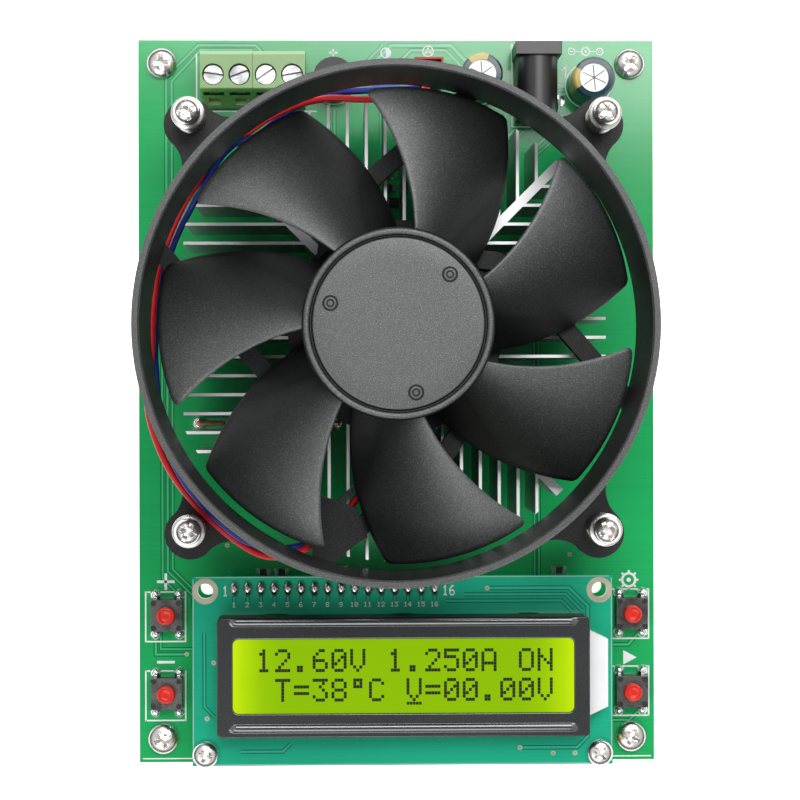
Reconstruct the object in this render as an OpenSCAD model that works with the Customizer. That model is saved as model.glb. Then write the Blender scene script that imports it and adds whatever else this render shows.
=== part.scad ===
// Bench electronic load on an open circuit board: a fan cooled power stage,
// a two row character display, four push buttons, screw terminals and a
// barrel power inlet. Origin at the centre of the footprint, at the feet.

/* [Board] */
// Width of the main circuit board
board_w = 100; // [98:0.5:104]
// Length of the main circuit board
board_l = 140; // [139:0.5:144]
// Thickness of the main circuit board
board_t = 1.6; // [1.4:0.1:2.0]
// Height of the four hexagonal feet
foot_h = 8; // [7:0.5:12]
// Spacing of the feet across the board
foot_dx = 90.8; // [90:0.1:91.5]
// Spacing of the feet along the board
foot_dy = 130.8; // [130:0.1:131.5]

/* [Cooler] */
// Cooler axis, distance right of the board centre
cool_x = -1; // [-1.5:0.1:1]
// Cooler axis, distance above the board centre
cool_y = 13.2; // [12.8:0.1:13.6]
// Spacing of the four cooler screws
cool_pitch = 75; // [74.5:0.1:75.5]
// Underside of the heatsink above the board
sink_z0 = 5.2; // [5.2:0.1:5.6]
// Top of the heatsink above the board
sink_z1 = 30; // [29:0.5:30]
// Outer radius of the heatsink
sink_r = 42.3; // [41:0.1:42.4]
// Half width where the heatsink's sides are cut flat
sink_half = 38.3; // [37:0.1:40]
// Pitch of the heatsink fins
fin_pitch = 3.43; // [3.2:0.01:3.6]
// Thickness of one fin
fin_t = 0.55; // [0.5:0.05:0.9]
// Outer radius of the fan ring
ring_r = 45; // [45:0.1:45.5]
// Top of the fan ring above the board
ring_top = 57; // [56.8:0.1:60]
// Bottom of the fan ring above the board
ring_bot = 35; // [34.8:0.1:35.2]
// Outer radius of the fan hub
hub_r = 16.5; // [16.3:0.1:17]
// Tip radius of the fan blades
tip_r = 41.6; // [40:0.1:42]
// Angle of the first blade's leading root
blade_a0 = 28.7; // [0:0.1:51]

/* [Display] */
// Display centre, right of the board centre
lcd_x = 0.8; // [0.5:0.1:1.2]
// Display centre, along the board
lcd_y = -51.6; // [-51.8:0.1:-51.4]
// Gap between the display board and the main board
lcd_gap = 8; // [8:0.1:8.5]
// Width of the display's metal bezel
bezel_w = 70; // [69.5:0.1:71]
// Height of the display's metal bezel
bezel_h = 22.5; // [22.3:0.1:22.8]
// Width of the viewing window
window_w = 64; // [63:0.1:64.5]
// Height of the viewing window
window_h = 13.9; // [13:0.1:14.2]

/* [Controls] */
// Left column of push buttons
key_x0 = -44.6; // [-45:0.1:-44.4]
// Right column of push buttons
key_x1 = 45.4; // [45.2:0.1:45.6]
// Upper row of push buttons
key_y1 = -41.3; // [-41.6:0.1:-41]
// Lower row of push buttons
key_y0 = -56.4; // [-56.6:0.1:-56]
// Diameter of a button's cap
key_d = 3.4; // [3.3:0.05:3.6]
// Pitch of the terminal poles
pole_pitch = 5; // [5:0.01:5.02]
// First terminal pole
pole_x0 = -35; // [-35.2:0.1:-34.8]
// Terminal screws, along the board
pole_y = 62; // [61.9:0.1:62.1]
// Barrel inlet centre
jack_x = 26.9; // [26.7:0.1:27.1]

/* [Hidden] */
$fn = 48;

zt = foot_h + board_t;              // top of the main board
eps = 0.01;
blades = 7;
half_pitch = cool_pitch / 2;
screw_off = [0.3, 1, 0];            // the screws stand a little off the ear centres
bezel_dy = -0.25;                   // bezel centre against the window centre
keys = [[key_x0, key_y1], [key_x0, key_y0], [key_x1, key_y1], [key_x1, key_y0]];
caps_xy = [[37.3, 61.2], [16, 61.9]];
buzzer_xy = [-12.1, 62];
trim_xy = [-2, 62.9];
trim_pins = [[-1.7, -1.7], [1.7, -1.7], [0, 1.7]];
fanhdr_xy = [6.2, 63.5];
poles = [for (i = [0:3]) pole_x0 + i * pole_pitch];
lcd_px = [for (i = [0:15]) lcd_x - 32 + i * 2.54];
lcd_py = lcd_y + 15.5;
lcd_z = zt + lcd_gap;               // underside of the display board
lcd_t = 1.6;
lcd_top = lcd_z + lcd_t;
bezel_top = lcd_top + 6.6;
shunt_y = -4.3;
shunt_x = [-38.3, -11.5];
mos_x = cool_x;
mos_y = cool_y - 1;

// ---- shared shapes -------------------------------------------------------
module at_cooler() { translate([cool_x, cool_y, zt]) children(); }
module at_corners(dx, dy) {
  for (sx = [-1, 1]) for (sy = [-1, 1]) translate([sx * dx / 2, sy * dy / 2, 0]) children();
}
module hole(x, y, d) { translate([x, y, -1]) cylinder(d = d, h = 60, $fn = 24); }

// Pan head with a domed top and a cross recess, seated on z = 0
module pan_head(d, h, slot) {
  difference() {
    rotate_extrude($fn = 48)
      polygon([[0, 0], [d / 2 - 0.15, 0], [d / 2, 0.2], [d / 2, h * 0.5],
               [d * 0.43, h * 0.8], [d * 0.3, h * 0.96], [0, h]]);
    for (a = [0, 90]) rotate(a)
      translate([-slot / 2, -slot / 9, h * 0.42]) cube([slot, slot / 4.5, h]);
  }
}
module screw(d, h, slot, shank_r, len) {
  pan_head(d, h, slot);
  translate([0, 0, -len]) cylinder(r = shank_r, h = len + 0.1, $fn = 24);
}
// A tube swept along points, all rings turned to the local direction
function unit(v) = v / norm(v);
function side(t) = unit(cross(t, abs(t[2]) > 0.95 ? [1, 0, 0] : [0, 0, 1]));
module tube(p, r, n = 8) {
  m = len(p);
  t = [for (i = [0:m - 1]) unit(p[min(i + 1, m - 1)] - p[max(i - 1, 0)])];
  pts = [for (i = [0:m - 1]) let (u = side(t[i]), v = cross(u, t[i]))
         for (k = [0:n - 1]) p[i] + r * (cos(360 * k / n) * u + sin(360 * k / n) * v)];
  faces = concat(
    [[for (k = [0:n - 1]) k]],
    [for (i = [0:m - 2]) for (k = [0:n - 1])
       [i * n + k, (i + 1) * n + k, (i + 1) * n + (k + 1) % n, i * n + (k + 1) % n]],
    [[for (k = [n - 1:-1:0]) (m - 1) * n + k]]);
  polyhedron(points = pts, faces = faces, convexity = 6);
}
// Smooth curve through hand placed points
function cr(a, b, c, d, t) = 0.5 * (2 * b + (c - a) * t + (2 * a - 5 * b + 4 * c - d) * t * t
                             + (3 * b - a - 3 * c + d) * t * t * t);
function smooth(p, k) = let (m = len(p)) concat(
  [for (i = [0:m - 2]) for (j = [0:k - 1])
     cr(p[max(i - 1, 0)], p[i], p[i + 1], p[min(i + 2, m - 1)], j / k)], [p[m - 1]]);
function polar(r, a, z) = [cool_x + r * cos(a), cool_y + r * sin(a), zt + z];

// ---- main board ----------------------------------------------------------
module main_pcb() color("forestgreen") difference() {
  translate([-board_w / 2, -board_l / 2, foot_h]) cube([board_w, board_l, board_t]);
  at_corners(foot_dx, foot_dy) hole(0, 0, 3.4);
  translate([cool_x, cool_y, 0] + screw_off) at_corners(cool_pitch, cool_pitch) hole(0, 0, 3.6);
  translate([lcd_x, lcd_y, 0]) at_corners(75, 31) hole(0, 0, 2.9);
  for (x = lcd_px) hole(x, lcd_py, 1.1);
  for (x = poles) hole(x, pole_y - 2.7, 1.5);
  for (c = caps_xy) for (s = [-1, 1]) hole(c[0] + s * 1.75, c[1], 0.9);
  for (s = [-1, 1]) hole(buzzer_xy[0] + s * 2.5, buzzer_xy[1], 0.9);
  for (p = trim_pins) hole(trim_xy[0] + p[0], trim_xy[1] + p[1], 0.9);
  for (s = [-1, 1]) hole(fanhdr_xy[0] + s * 1.27, fanhdr_xy[1], 1);
  for (y = [55.4, 61.4]) hole(jack_x, y, 2.6);
  hole(jack_x + 4.6, 58.4, 2.6);
  for (k = keys) for (sx = [-1, 1]) for (sy = [-1, 1]) hole(k[0] + sx * 2.25, k[1] + sy * 3.25, 1.1);
  for (s = [-1, 0, 1]) hole(mos_x + s * 5.45, mos_y - 16, 1.6);
  for (x = shunt_x) hole(x, shunt_y, 1.4);
  for (s = [-1, 0, 1]) hole(cool_x + 19 + s * 1.27, cool_y + 2, 0.8);
}
module standoffs() color("goldenrod") at_corners(foot_dx, foot_dy) difference() {
  rotate(15) cylinder(r = 3.175, h = foot_h, $fn = 6);
  translate([0, 0, -1]) cylinder(r = 1.25, h = foot_h + 2, $fn = 32);
  translate([0, 0, foot_h - 3.7]) cylinder(r = 1.58, h = foot_h, $fn = 32);
}
module corner_screws() color("silver")
  at_corners(foot_dx, foot_dy) translate([0, 0, zt]) rotate(20) screw(5.8, 2, 3.1, 1.5, 5);

// ---- power stage ---------------------------------------------------------
module fin_sector(off) {
  for (k = [-8:8]) let (y = (k + off) * fin_pitch)
    if (abs(y) < 26) translate([abs(y) - 0.6, y - fin_t / 2]) square([sink_r - abs(y) + 0.6, fin_t]);
}
module heatsink() color("lightgray") at_cooler() translate([0, 0, sink_z0])
  linear_extrude(sink_z1 - sink_z0) intersection() {
    circle(r = sink_r, $fn = 96);
    square([2 * sink_half, 3 * sink_r], center = true);
    union() {
      circle(r = 13, $fn = 64);
      for (a = [45, -45]) rotate(a) square([3 * sink_r, 1.7], center = true);
      fin_sector(0.5);
      mirror([1, 0]) fin_sector(0.5);
      rotate(90) fin_sector(0.5);
      mirror([0, 1]) rotate(90) fin_sector(0.5);
    }
  }
module thermal_pad() color("gainsboro")
  translate([mos_x - 8.5, mos_y - 9.5, zt + sink_z0 - 0.25]) cube([17, 21, 0.25]);
module power_mosfet() color("dimgray") {
  difference() {
    translate([mos_x - 7.9, mos_y - 9, zt + 0.15]) cube([15.8, 20, sink_z0 - 0.25 - 0.15]);
    translate([mos_x, mos_y + 7.2, zt - 1]) cylinder(r = 1.8, h = 9, $fn = 32);
  }
  for (s = [-1, 0, 1]) translate([mos_x + s * 5.45, mos_y, zt]) {
    translate([-0.6, -16.6, 2]) cube([1.2, 7.8, 0.6]);
    translate([-0.6, -16.3, -3]) cube([1.2, 0.6, 5.2]);
  }
}
module shunt_wire() color("peru") {
  translate([shunt_x[0], shunt_y, zt + 2.2]) rotate([0, 90, 0])
    cylinder(r = 0.55, h = shunt_x[1] - shunt_x[0], $fn = 24);
  for (x = shunt_x) translate([x, shunt_y, zt]) {
    translate([0, 0, -3]) cylinder(r = 0.55, h = 5.2, $fn = 24);
    translate([0, 0, 2.2]) sphere(r = 0.55, $fn = 24);
  }
}
module temperature_sensor() color("black") translate([cool_x + 19, cool_y + 2, zt]) {
  translate([0, 0, 0.9]) linear_extrude(4.2) intersection() {
    circle(r = 2.3, $fn = 32);
    translate([-3, -1.4]) square([6, 6]);
  }
  for (s = [-1, 0, 1]) translate([s * 1.27 - 0.2, -0.2, -3]) cube([0.4, 0.4, 4]);
}

// ---- fan frame -----------------------------------------------------------
// a strut's course from the motor base out to the ring
strut_p = [[13, 12.4], [18, 11.9], [22, 9.5], [27, 3.9], [42.2, -13.7]];
module strut_bar(w) {
  for (i = [0:len(strut_p) - 2]) let (d = strut_p[i + 1] - strut_p[i])
    translate(strut_p[i]) rotate(atan2(d[1], d[0])) translate([0, -w / 2]) square([norm(d), w]);
  for (q = strut_p) translate(q) circle(d = w, $fn = 32);
}
module ear_plan() {
  // boss with two concave flanks running out to the ring
  difference() {
    translate([42.2, -8]) square([14, 16]);
    for (s = [-1, 1]) translate([53.03, s * 11.2]) circle(r = 6.6, $fn = 48);
    translate([53.03, -20]) square([20, 40]);
    circle(r = 45.4, $fn = 96);
  }
  translate([53.03, 0]) circle(r = 4.7, $fn = 48);
}
module fan_frame() color([0.2, 0.2, 0.21]) at_cooler() difference() {
  union() {
    translate([-0.3, 0, 0]) rotate_extrude($fn = 128)
      polygon([[43.5, ring_bot], [44.7, ring_bot], [44.7, ring_top - 2.4], [ring_r + 0.05, ring_top - 1.8],
               [ring_r + 0.05, ring_top - 0.3], [ring_r - 0.25, ring_top], [44, ring_top], [43.7, ring_top - 0.3]]);
    translate([0, 0, 31]) cylinder(r = 19.4, h = 2.4, $fn = 96);
    translate([0, 0, 30]) cylinder(r = 8, h = 1.2, $fn = 48);
    translate([0, 0, 31]) cylinder(r = 4, h = 19, $fn = 48);
    for (a = [0:90:270]) rotate(a) translate([0, 0, 31]) linear_extrude(4) intersection() {
      strut_bar(3.3);
      difference() { circle(r = 44.2, $fn = 96); circle(r = 18.4, $fn = 96); }
    }
    // cover and side wall of the wire channel beside the lowest strut
    translate([0, 0, 33.7]) linear_extrude(1.3)
      polygon([[-15, -29.6], [-12.9, -30.3], [-7, -32.3], [-5.2, -37.6], [-11, -41.5], [-15, -41]]);
    translate([-11.8, -32.8, 31]) rotate(42.5) translate([0, -0.45, 0]) cube([6.9, 0.9, 3.6]);
    for (a = [45:90:315]) rotate(a) {
      translate([0, 0, 19.5]) linear_extrude(5.5) ear_plan();
      translate([0, 0, 19.5]) linear_extrude(19) intersection() {
        difference() { circle(r = 46.6, $fn = 96); circle(r = 45.4, $fn = 96); }
        translate([40, -7.2]) square([10, 14.4]);
      }
      translate([0, 0, ring_bot]) linear_extrude(3.5) intersection() {
        difference() { circle(r = 46, $fn = 96); circle(r = 44, $fn = 96); }
        translate([40, -7.2]) square([10, 14.4]);
      }
    }
  }
  translate([0, 0, 32.2]) cylinder(r = 3, h = 30, $fn = 48);
  translate(screw_off + [0, 0, 15]) at_corners(cool_pitch, cool_pitch) cylinder(r = 1.8, h = 20, $fn = 32);
}
module cooler_screws() color("silver") at_cooler() translate(screw_off) at_corners(cool_pitch, cool_pitch) {
  translate([0, 0, 33.4]) cylinder(r = 3, h = 0.8, $fn = 48);
  translate([0, 0, 34.2]) rotate(25) pan_head(4.8, 3.8, 3);
  translate([0, 0, -5]) cylinder(r = 1.5, h = 38.5, $fn = 32);
}
module cooler_springs() color("gainsboro") at_cooler() translate(screw_off) at_corners(cool_pitch, cool_pitch)
  tube([for (i = [0:54]) let (a = i * 40)
        [2.35 * cos(a), 2.35 * sin(a), 25.45 + 7.5 * min(1, max(0, (i - 6) / 42))]], 0.42, 6);
module cooler_nuts() color("silver") at_cooler() translate(screw_off) at_corners(cool_pitch, cool_pitch)
  translate([0, 0, -board_t - 2.4]) difference() {
    cylinder(r = 3.175, h = 2.4, $fn = 6);
    translate([0, 0, -1]) cylinder(r = 1.55, h = 5, $fn = 32);
  }

// ---- fan motor -----------------------------------------------------------
module bearing_sleeve() color("darkgoldenrod") at_cooler() translate([0, 0, 33.4]) difference() {
  cylinder(r = 3, h = 16, $fn = 48);
  translate([0, 0, -1]) cylinder(r = 1.54, h = 20, $fn = 48);
}
module stator_core() color("slategray") at_cooler() translate([0, 0, 39]) difference() {
  linear_extrude(6) union() {
    circle(r = 6, $fn = 48);
    for (a = [0:90:270]) rotate(a) {
      translate([0, -1.6]) square([11, 3.2]);
      intersection() {
        difference() { circle(r = 12.3, $fn = 72); circle(r = 10.6, $fn = 72); }
        translate([0, -7]) square([14, 14]);
      }
    }
  }
  translate([0, 0, -1]) cylinder(r = 4.03, h = 9, $fn = 48);
}
module stator_coils() color("chocolate") at_cooler() for (a = [0:90:270]) rotate(a)
  difference() {
    translate([6.4, -3.1, 37.4]) cube([3.5, 6.2, 9.2]);
    translate([6, -1.65, 38.95]) cube([5, 3.3, 6.1]);
  }
module fan_driver_board() color("darkgreen") at_cooler() {
  translate([0, 0, 33.4]) difference() {
    cylinder(r = 13.6, h = 1, $fn = 72);
    translate([0, 0, -1]) cylinder(r = 4.15, h = 4, $fn = 48);
  }
  translate([6, 4, 34.4]) cube([3, 3, 1]);
  translate([-8.5, 4, 34.4]) cube([2, 1.3, 0.7]);
}

// blade outline as angles from its root, heights above the board
br0 = 15.95;
function bfrac(r) = (r - br0) / (tip_r - br0);
function le_a(r) = 18.2 * pow(max(0, bfrac(r)), 1.08);
function te_a(r) = let (u = tip_r - r) -(18.8 + 0.92 * u + 0.003 * u * u);
function le_z(r) = 54.2 - 5.2 * pow(max(0, bfrac(r)), 1.4);
function te_z(r) = 37.1 - 0.2 * bfrac(r);
function tip_at(t) = tip_r - 0.6 + 1.3 * t - (t < 0.06 ? 0.9 * pow(1 - t / 0.06, 2) : 0)
                     - (t > 0.97 ? 0.5 * pow((t - 0.97) / 0.03, 2) : 0);
function blade_p(s, t, up) = let (
    r = br0 + s * (tip_at(t) - br0),
    a = le_a(r) + t * (te_a(r) - le_a(r)),
    z = le_z(r) + (te_z(r) - le_z(r)) * (0.3 * t + 0.7 * t * t),
    h = (0.85 - 0.25 * s) * (0.55 + 0.45 * sin(180 * min(1, max(0, 0.08 + 0.84 * t)))))
  [r * cos(a), r * sin(a), z + up * h];
bs = [0, 0.1, 0.22, 0.35, 0.48, 0.61, 0.74, 0.86, 0.95, 1];
bt = [0, 0.025, 0.06, 0.16, 0.3, 0.46, 0.62, 0.78, 0.92, 1];
module blade() {
  ns = len(bs); nt = len(bt); m = ns * nt;
  pts = concat([for (s = bs) for (t = bt) blade_p(s, t, 1)],
               [for (s = bs) for (t = bt) blade_p(s, t, -1)]);
  faces = concat(
    [for (i = [0:ns - 2]) for (j = [0:nt - 2]) each [
      [i * nt + j, i * nt + j + 1, (i + 1) * nt + j + 1],
      [i * nt + j, (i + 1) * nt + j + 1, (i + 1) * nt + j],
      [m + i * nt + j, m + (i + 1) * nt + j + 1, m + i * nt + j + 1],
      [m + i * nt + j, m + (i + 1) * nt + j, m + (i + 1) * nt + j + 1]]],
    [for (i = [0:ns - 2]) each [
      [i * nt, (i + 1) * nt, m + (i + 1) * nt], [i * nt, m + (i + 1) * nt, m + i * nt],
      [i * nt + nt - 1, m + (i + 1) * nt + nt - 1, (i + 1) * nt + nt - 1],
      [i * nt + nt - 1, m + i * nt + nt - 1, m + (i + 1) * nt + nt - 1]]],
    [for (j = [0:nt - 2]) each [
      [j, m + j + 1, j + 1], [j, m + j, m + j + 1],
      [(ns - 1) * nt + j, (ns - 1) * nt + j + 1, m + (ns - 1) * nt + j + 1],
      [(ns - 1) * nt + j, m + (ns - 1) * nt + j + 1, m + (ns - 1) * nt + j]]]);
  polyhedron(points = pts, faces = [for (f = faces) [f[2], f[1], f[0]]], convexity = 8);
}
module fan_rotor() color([0.22, 0.22, 0.23]) at_cooler() {
  rotate_extrude($fn = 128)
    polygon([[0, 55.3], [1.5, 55.3], [1.5, 52], [3.4, 52], [3.4, 54.6], [15.6, 54.6], [15.6, 36.2], [hub_r, 36.2],
             [hub_r, 55.6], [hub_r - 0.35, 56.3], [hub_r - 0.9, 56.6], [hub_r - 1.4, 56.4],
             [14.9, 55.9], [14.7, 56.5], [0, 56.5]]);
  for (k = [0:blades - 1]) rotate(blade_a0 + k * 360 / blades) blade();
}
module rotor_yoke() color("gray") at_cooler() rotate_extrude($fn = 96)
  polygon([[3.4, 53.8], [14.8, 53.8], [14.8, 38], [15.6, 38], [15.6, 54.6], [3.4, 54.6]]);
module rotor_magnet() color("dimgray") at_cooler() translate([0, 0, 38.6]) difference() {
  cylinder(r = 14.8, h = 10, $fn = 96);
  translate([0, 0, -1]) cylinder(r = 12.8, h = 12, $fn = 96);
}
module fan_shaft() color("silver") at_cooler() translate([0, 0, 32.5])
  cylinder(r = 1.5, h = 22.8, $fn = 48);

// ---- fan lead: radius, angle and height about the cooler axis ------------
lead_rp = [[12.4, 262, 35.3], [16, 263, 34.6], [21, 265, 34.1], [26.9, 263.4, 33], [32, 256.6, 32.4],
           [36.8, 254, 32.3], [40.8, 250, 32.2], [44.6, 246, 31.6], [46.9, 242, 30.2], [48, 238, 28.6],
           [48.3, 232, 27.5], [48.4, 225, 27.2], [48.5, 218, 27.2], [48.4, 211, 27.3], [47.9, 204, 27.4],
           [47.2, 197.5, 27.6], [45.8, 191.5, 27.8], [44.5, 186, 27.8], [44.1, 179.5, 27.7], [44.1, 172.5, 27.7],
           [44.3, 165, 27.7], [44.3, 156, 27.7],
           [44.6, 148, 27.1], [44.65, 141, 26.3], [44.65, 134, 26.25], [44.6, 128, 26.8], [44.6, 124.5, 27.3],
           [44.6, 120.5, 28], [44.2, 113.5, 29.4], [43.2, 106, 31], [42, 100, 31.2], [41.5, 95, 31.2],
           [41.7, 88.5, 31.2], [43, 83.5, 31]];
lead_r = concat([for (q = lead_rp) polar(q[0], q[1], q[2])],
                [[5.8, 58.6, zt + 28], [7, 61.2, zt + 22], [7.4, 63, zt + 15], [7.47, 63.5, zt + 8.3]]);
lead_bp = [[12.4, 254, 35.3], [16, 256, 34.6], [21, 261, 34.1], [26.4, 260.8, 32.2], [29, 259.5, 31.3], [31.7, 257, 31.05],
           [36.6, 254.2, 30.95], [40.6, 249.6, 30.85], [43.2, 246, 30.3], [45.2, 242, 29.8], [46.5, 238, 29.2],
           [47.4, 233, 28.8], [47.4, 225, 28.6], [47.4, 217, 28.6], [46.9, 209, 28.2], [46, 203, 27.6],
           [45.2, 197.5, 26.9], [44.4, 191.5, 26.4], [44, 186, 26.1], [43.6, 179.5, 26], [43.4, 172.5, 26],
           [43.4, 166, 26], [43.2, 157, 26],
           [43.2, 150, 26.3], [43.35, 143.5, 27.55], [44.2, 137, 28.15], [44.5, 131.5, 28.2], [43.5, 128, 27.7],
           [43.2, 125, 27], [43.6, 121, 26.2], [44.3, 115, 26.1], [44.3, 109, 27.6], [44, 103, 29.1],
           [43.4, 97, 30], [43.3, 91, 30], [43.9, 85.5, 29]];
lead_b = concat([for (q = lead_bp) polar(q[0], q[1], q[2])],
                [[4, 59.8, zt + 24.5], [4.7, 62.2, zt + 18], [4.9, 63.3, zt + 12.5], [4.93, 63.5, zt + 8.35]]);
module fan_wire_red() color("firebrick") tube(smooth(lead_r, 2), 0.62, 8);
module fan_wire_blue() color("midnightblue") tube(smooth(lead_b, 2), 0.62, 8);
module fan_header() color("red") translate([fanhdr_xy[0], fanhdr_xy[1], zt]) {
  difference() {
    translate([-2.8, -2.6, 0]) cube([5.6, 5.2, 5]);
    translate([-2.35, -2.15, 1]) cube([4.7, 4.3, 5]);
  }
  for (s = [-1, 1]) translate([s * 1.27 - 0.3, -0.3, -3]) cube([0.6, 0.6, 7.4]);
}
module fan_plug() color("red") translate([fanhdr_xy[0], fanhdr_xy[1], zt]) difference() {
  union() {
    translate([-2.3, -2.1, 1.1]) cube([4.6, 3.1, 7.1]);
    translate([-2.3, -2.6, 5.2]) cube([4.6, 0.8, 2.4]);
  }
  for (s = [-1, 1]) translate([s * 1.27 - 0.35, -0.35, 0]) cube([0.7, 0.7, 4.8]);
}

// ---- display -------------------------------------------------------------
tab_x = [-24, 0, 24];
module lcd_pcb() color("seagreen") difference() {
  translate([lcd_x - 40, lcd_y - 17.7, lcd_z]) cube([80, 36, lcd_t]);
  translate([lcd_x, lcd_y, 0]) at_corners(75, 31) hole(0, 0, 2.9);
  for (x = lcd_px) hole(x, lcd_py, 1.05);
  for (x = tab_x) for (s = [-1, 1]) translate([lcd_x + x - 1.9, lcd_y + bezel_dy + s * (bezel_h / 2 - 0.3) - 0.5, lcd_z - 1])
    cube([3.8, 1, 4]);
}
module window_plan(w, h, r) {
  square([w, h - 2 * r], center = true);
  square([w - 2 * r, h], center = true);
  for (sx = [-1, 1]) for (sy = [-1, 1]) translate([sx * (w / 2 - r), sy * (h / 2 - r)]) circle(r = r, $fn = 32);
}
module lcd_bezel() color([0.25, 0.26, 0.27]) translate([lcd_x, lcd_y, 0]) difference() {
  union() {
    translate([0, bezel_dy, lcd_top]) linear_extrude(bezel_top - lcd_top) window_plan(bezel_w, bezel_h, 0.9);
    // long pressed ribs above and below the window
    for (s = [-1, 1]) translate([0, s * (window_h / 2 + 2.85), bezel_top - 0.1]) linear_extrude(0.45)
      window_plan(64.4, 1.5, 0.74);
    for (x = tab_x) for (s = [-1, 1]) translate([x - 1.6, bezel_dy + s * (bezel_h / 2 - 0.3) - 0.25, lcd_z - 1.4])
      cube([3.2, 0.5, lcd_t + 1.9]);
  }
  translate([-bezel_w / 2 + 0.5, bezel_dy - bezel_h / 2 + 0.55, lcd_top - 0.01]) cube([bezel_w - 1, bezel_h - 1.1, bezel_top - lcd_top - 0.5]);
  translate([0, 0, lcd_top]) linear_extrude(20) window_plan(window_w, window_h, 1.1);
  translate([bezel_w / 2 - 2, -8.4, lcd_top - 0.01]) cube([4, 16.8, 3.2]);
}
module lcd_glass() color([0.7, 0.85, 0.1]) translate([lcd_x - 33.5, lcd_y - 9.8, lcd_top + 3.6])
  cube([67, 19.6, 2.4]);
module lcd_backlight() color("whitesmoke") translate([lcd_x, lcd_y, lcd_top]) {
  translate([-33.5, -7.2, 0]) cube([68, 14.4, 3.6]);
  linear_extrude(3) polygon([[34.4, -8.15], [35.1, -8.15], [38.8, -6.35], [38.8, 6.35], [35.1, 8.15], [34.4, 8.15]]);
}
module lcd_zebra_strips() color("pink") for (s = [-1, 1])
  translate([lcd_x - 31, lcd_y + s * 8.5 - 0.9, lcd_top]) cube([62, 1.8, 3.6]);
module lcd_header_base() color([0.12, 0.12, 0.12]) difference() {
  translate([lcd_px[0] - 1.27, lcd_py - 1.25, zt]) cube([16 * 2.54, 2.5, 2.5]);
  for (x = lcd_px) translate([x - 0.32, lcd_py - 0.32, zt - 1]) cube([0.64, 0.64, 5]);
}
module lcd_header_pins() color("gold") for (x = lcd_px)
  translate([x - 0.32, lcd_py - 0.32, zt - 3]) cube([0.64, 0.64, lcd_gap + lcd_t + 4]);
module lcd_spacers() color("goldenrod") for (s = [-1, 1])
  translate([lcd_x + s * 37.5, lcd_y - 15.5, zt]) difference() {
    cylinder(r = 2.45, h = lcd_gap, $fn = 6);
    translate([0, 0, -1]) cylinder(r = 1.3, h = lcd_gap + 2, $fn = 32);
  }
module lcd_screws() color("silver") for (s = [-1, 1]) translate([lcd_x + s * 37.5, lcd_y - 15.5, 0]) {
  translate([0, 0, lcd_top]) rotate(30 * s) screw(4.9, 1.9, 2.7, 1.2, 5);
  translate([0, 0, foot_h]) mirror([0, 0, 1]) screw(4.9, 1.9, 2.7, 1.2, 5);
}
module lcd_driver_domes() color([0.08, 0.08, 0.08]) for (x = [-17, 13])
  translate([lcd_x + x, lcd_y - 1, lcd_z]) rotate_extrude($fn = 64)
    polygon([[0, 0], [8, 0], [7.7, -0.5], [6.6, -1], [4.6, -1.4], [2.4, -1.6], [0, -1.65]]);

// ---- terminals -----------------------------------------------------------
module terminal_housings() color("limegreen") for (b = [0, 1])
  translate([poles[0] + (2 * b + 0.5) * pole_pitch, 0, zt]) difference() {
    translate([-pole_pitch + 0.02, 0, 0]) rotate([90, 0, 90]) linear_extrude(2 * pole_pitch - 0.04)
      polygon([[56.7, 0], [56.7, 1.6], [58.5, 5.2], [59.1, 9.7], [59.4, 10], [65.8, 10], [66.6, 8.6], [66.9, 5.6], [66.9, 0]]);
    for (s = [-1, 1]) translate([s * pole_pitch / 2, 0, 0]) {
      translate([-1.95, 58.6, -1]) cube([3.9, 5.6, 8.8]);
      translate([-1.6, 60, 1.3]) cube([3.2, 9, 3.1]);
      translate([0, pole_y, 0]) cylinder(r = 2.05, h = 20, $fn = 48);
      translate([-1.1, 57.1, 2.4]) cube([2.2, 1.1, 6]);
    }
  }
module terminal_pins() color("silver") for (x = poles) translate([x, 0, zt]) {
  translate([-1, 58.95, 4.2]) cube([2, 5, 0.6]);
  translate([-1, 58.95, 0.4]) cube([2, 0.6, 4]);
  translate([-0.5, 58.95, -3]) cube([1, 0.6, 3.6]);
}
module terminal_screw(i) color("silver") translate([poles[i], pole_y, zt]) difference() {
  union() {
    translate([0, 0, 7.75]) cylinder(r = 1.85, h = 1.5, $fn = 48);
    translate([0, 0, 4.95]) cylinder(r = 1.25, h = 3, $fn = 32);
  }
  rotate([-8, 20, 35, 10][i]) translate([-3, -0.35, 8.45]) cube([6, 0.7, 2]);
}
module terminal_screw_1() terminal_screw(0);
module terminal_screw_2() terminal_screw(1);
module terminal_screw_3() terminal_screw(2);
module terminal_screw_4() terminal_screw(3);
module wire_clamp(i) color("lightsteelblue") translate([poles[i], pole_y, zt]) difference() {
  translate([-1.8, -1.6, 0.9]) cube([3.6, 3.2, 4.7]);
  translate([-1.25, -3, 1.5]) cube([2.5, 6, 3.5]);
  cylinder(r = 1.32, h = 9, $fn = 32);
}
module wire_clamp_1() wire_clamp(0);
module wire_clamp_2() wire_clamp(1);
module wire_clamp_3() wire_clamp(2);
module wire_clamp_4() wire_clamp(3);

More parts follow.
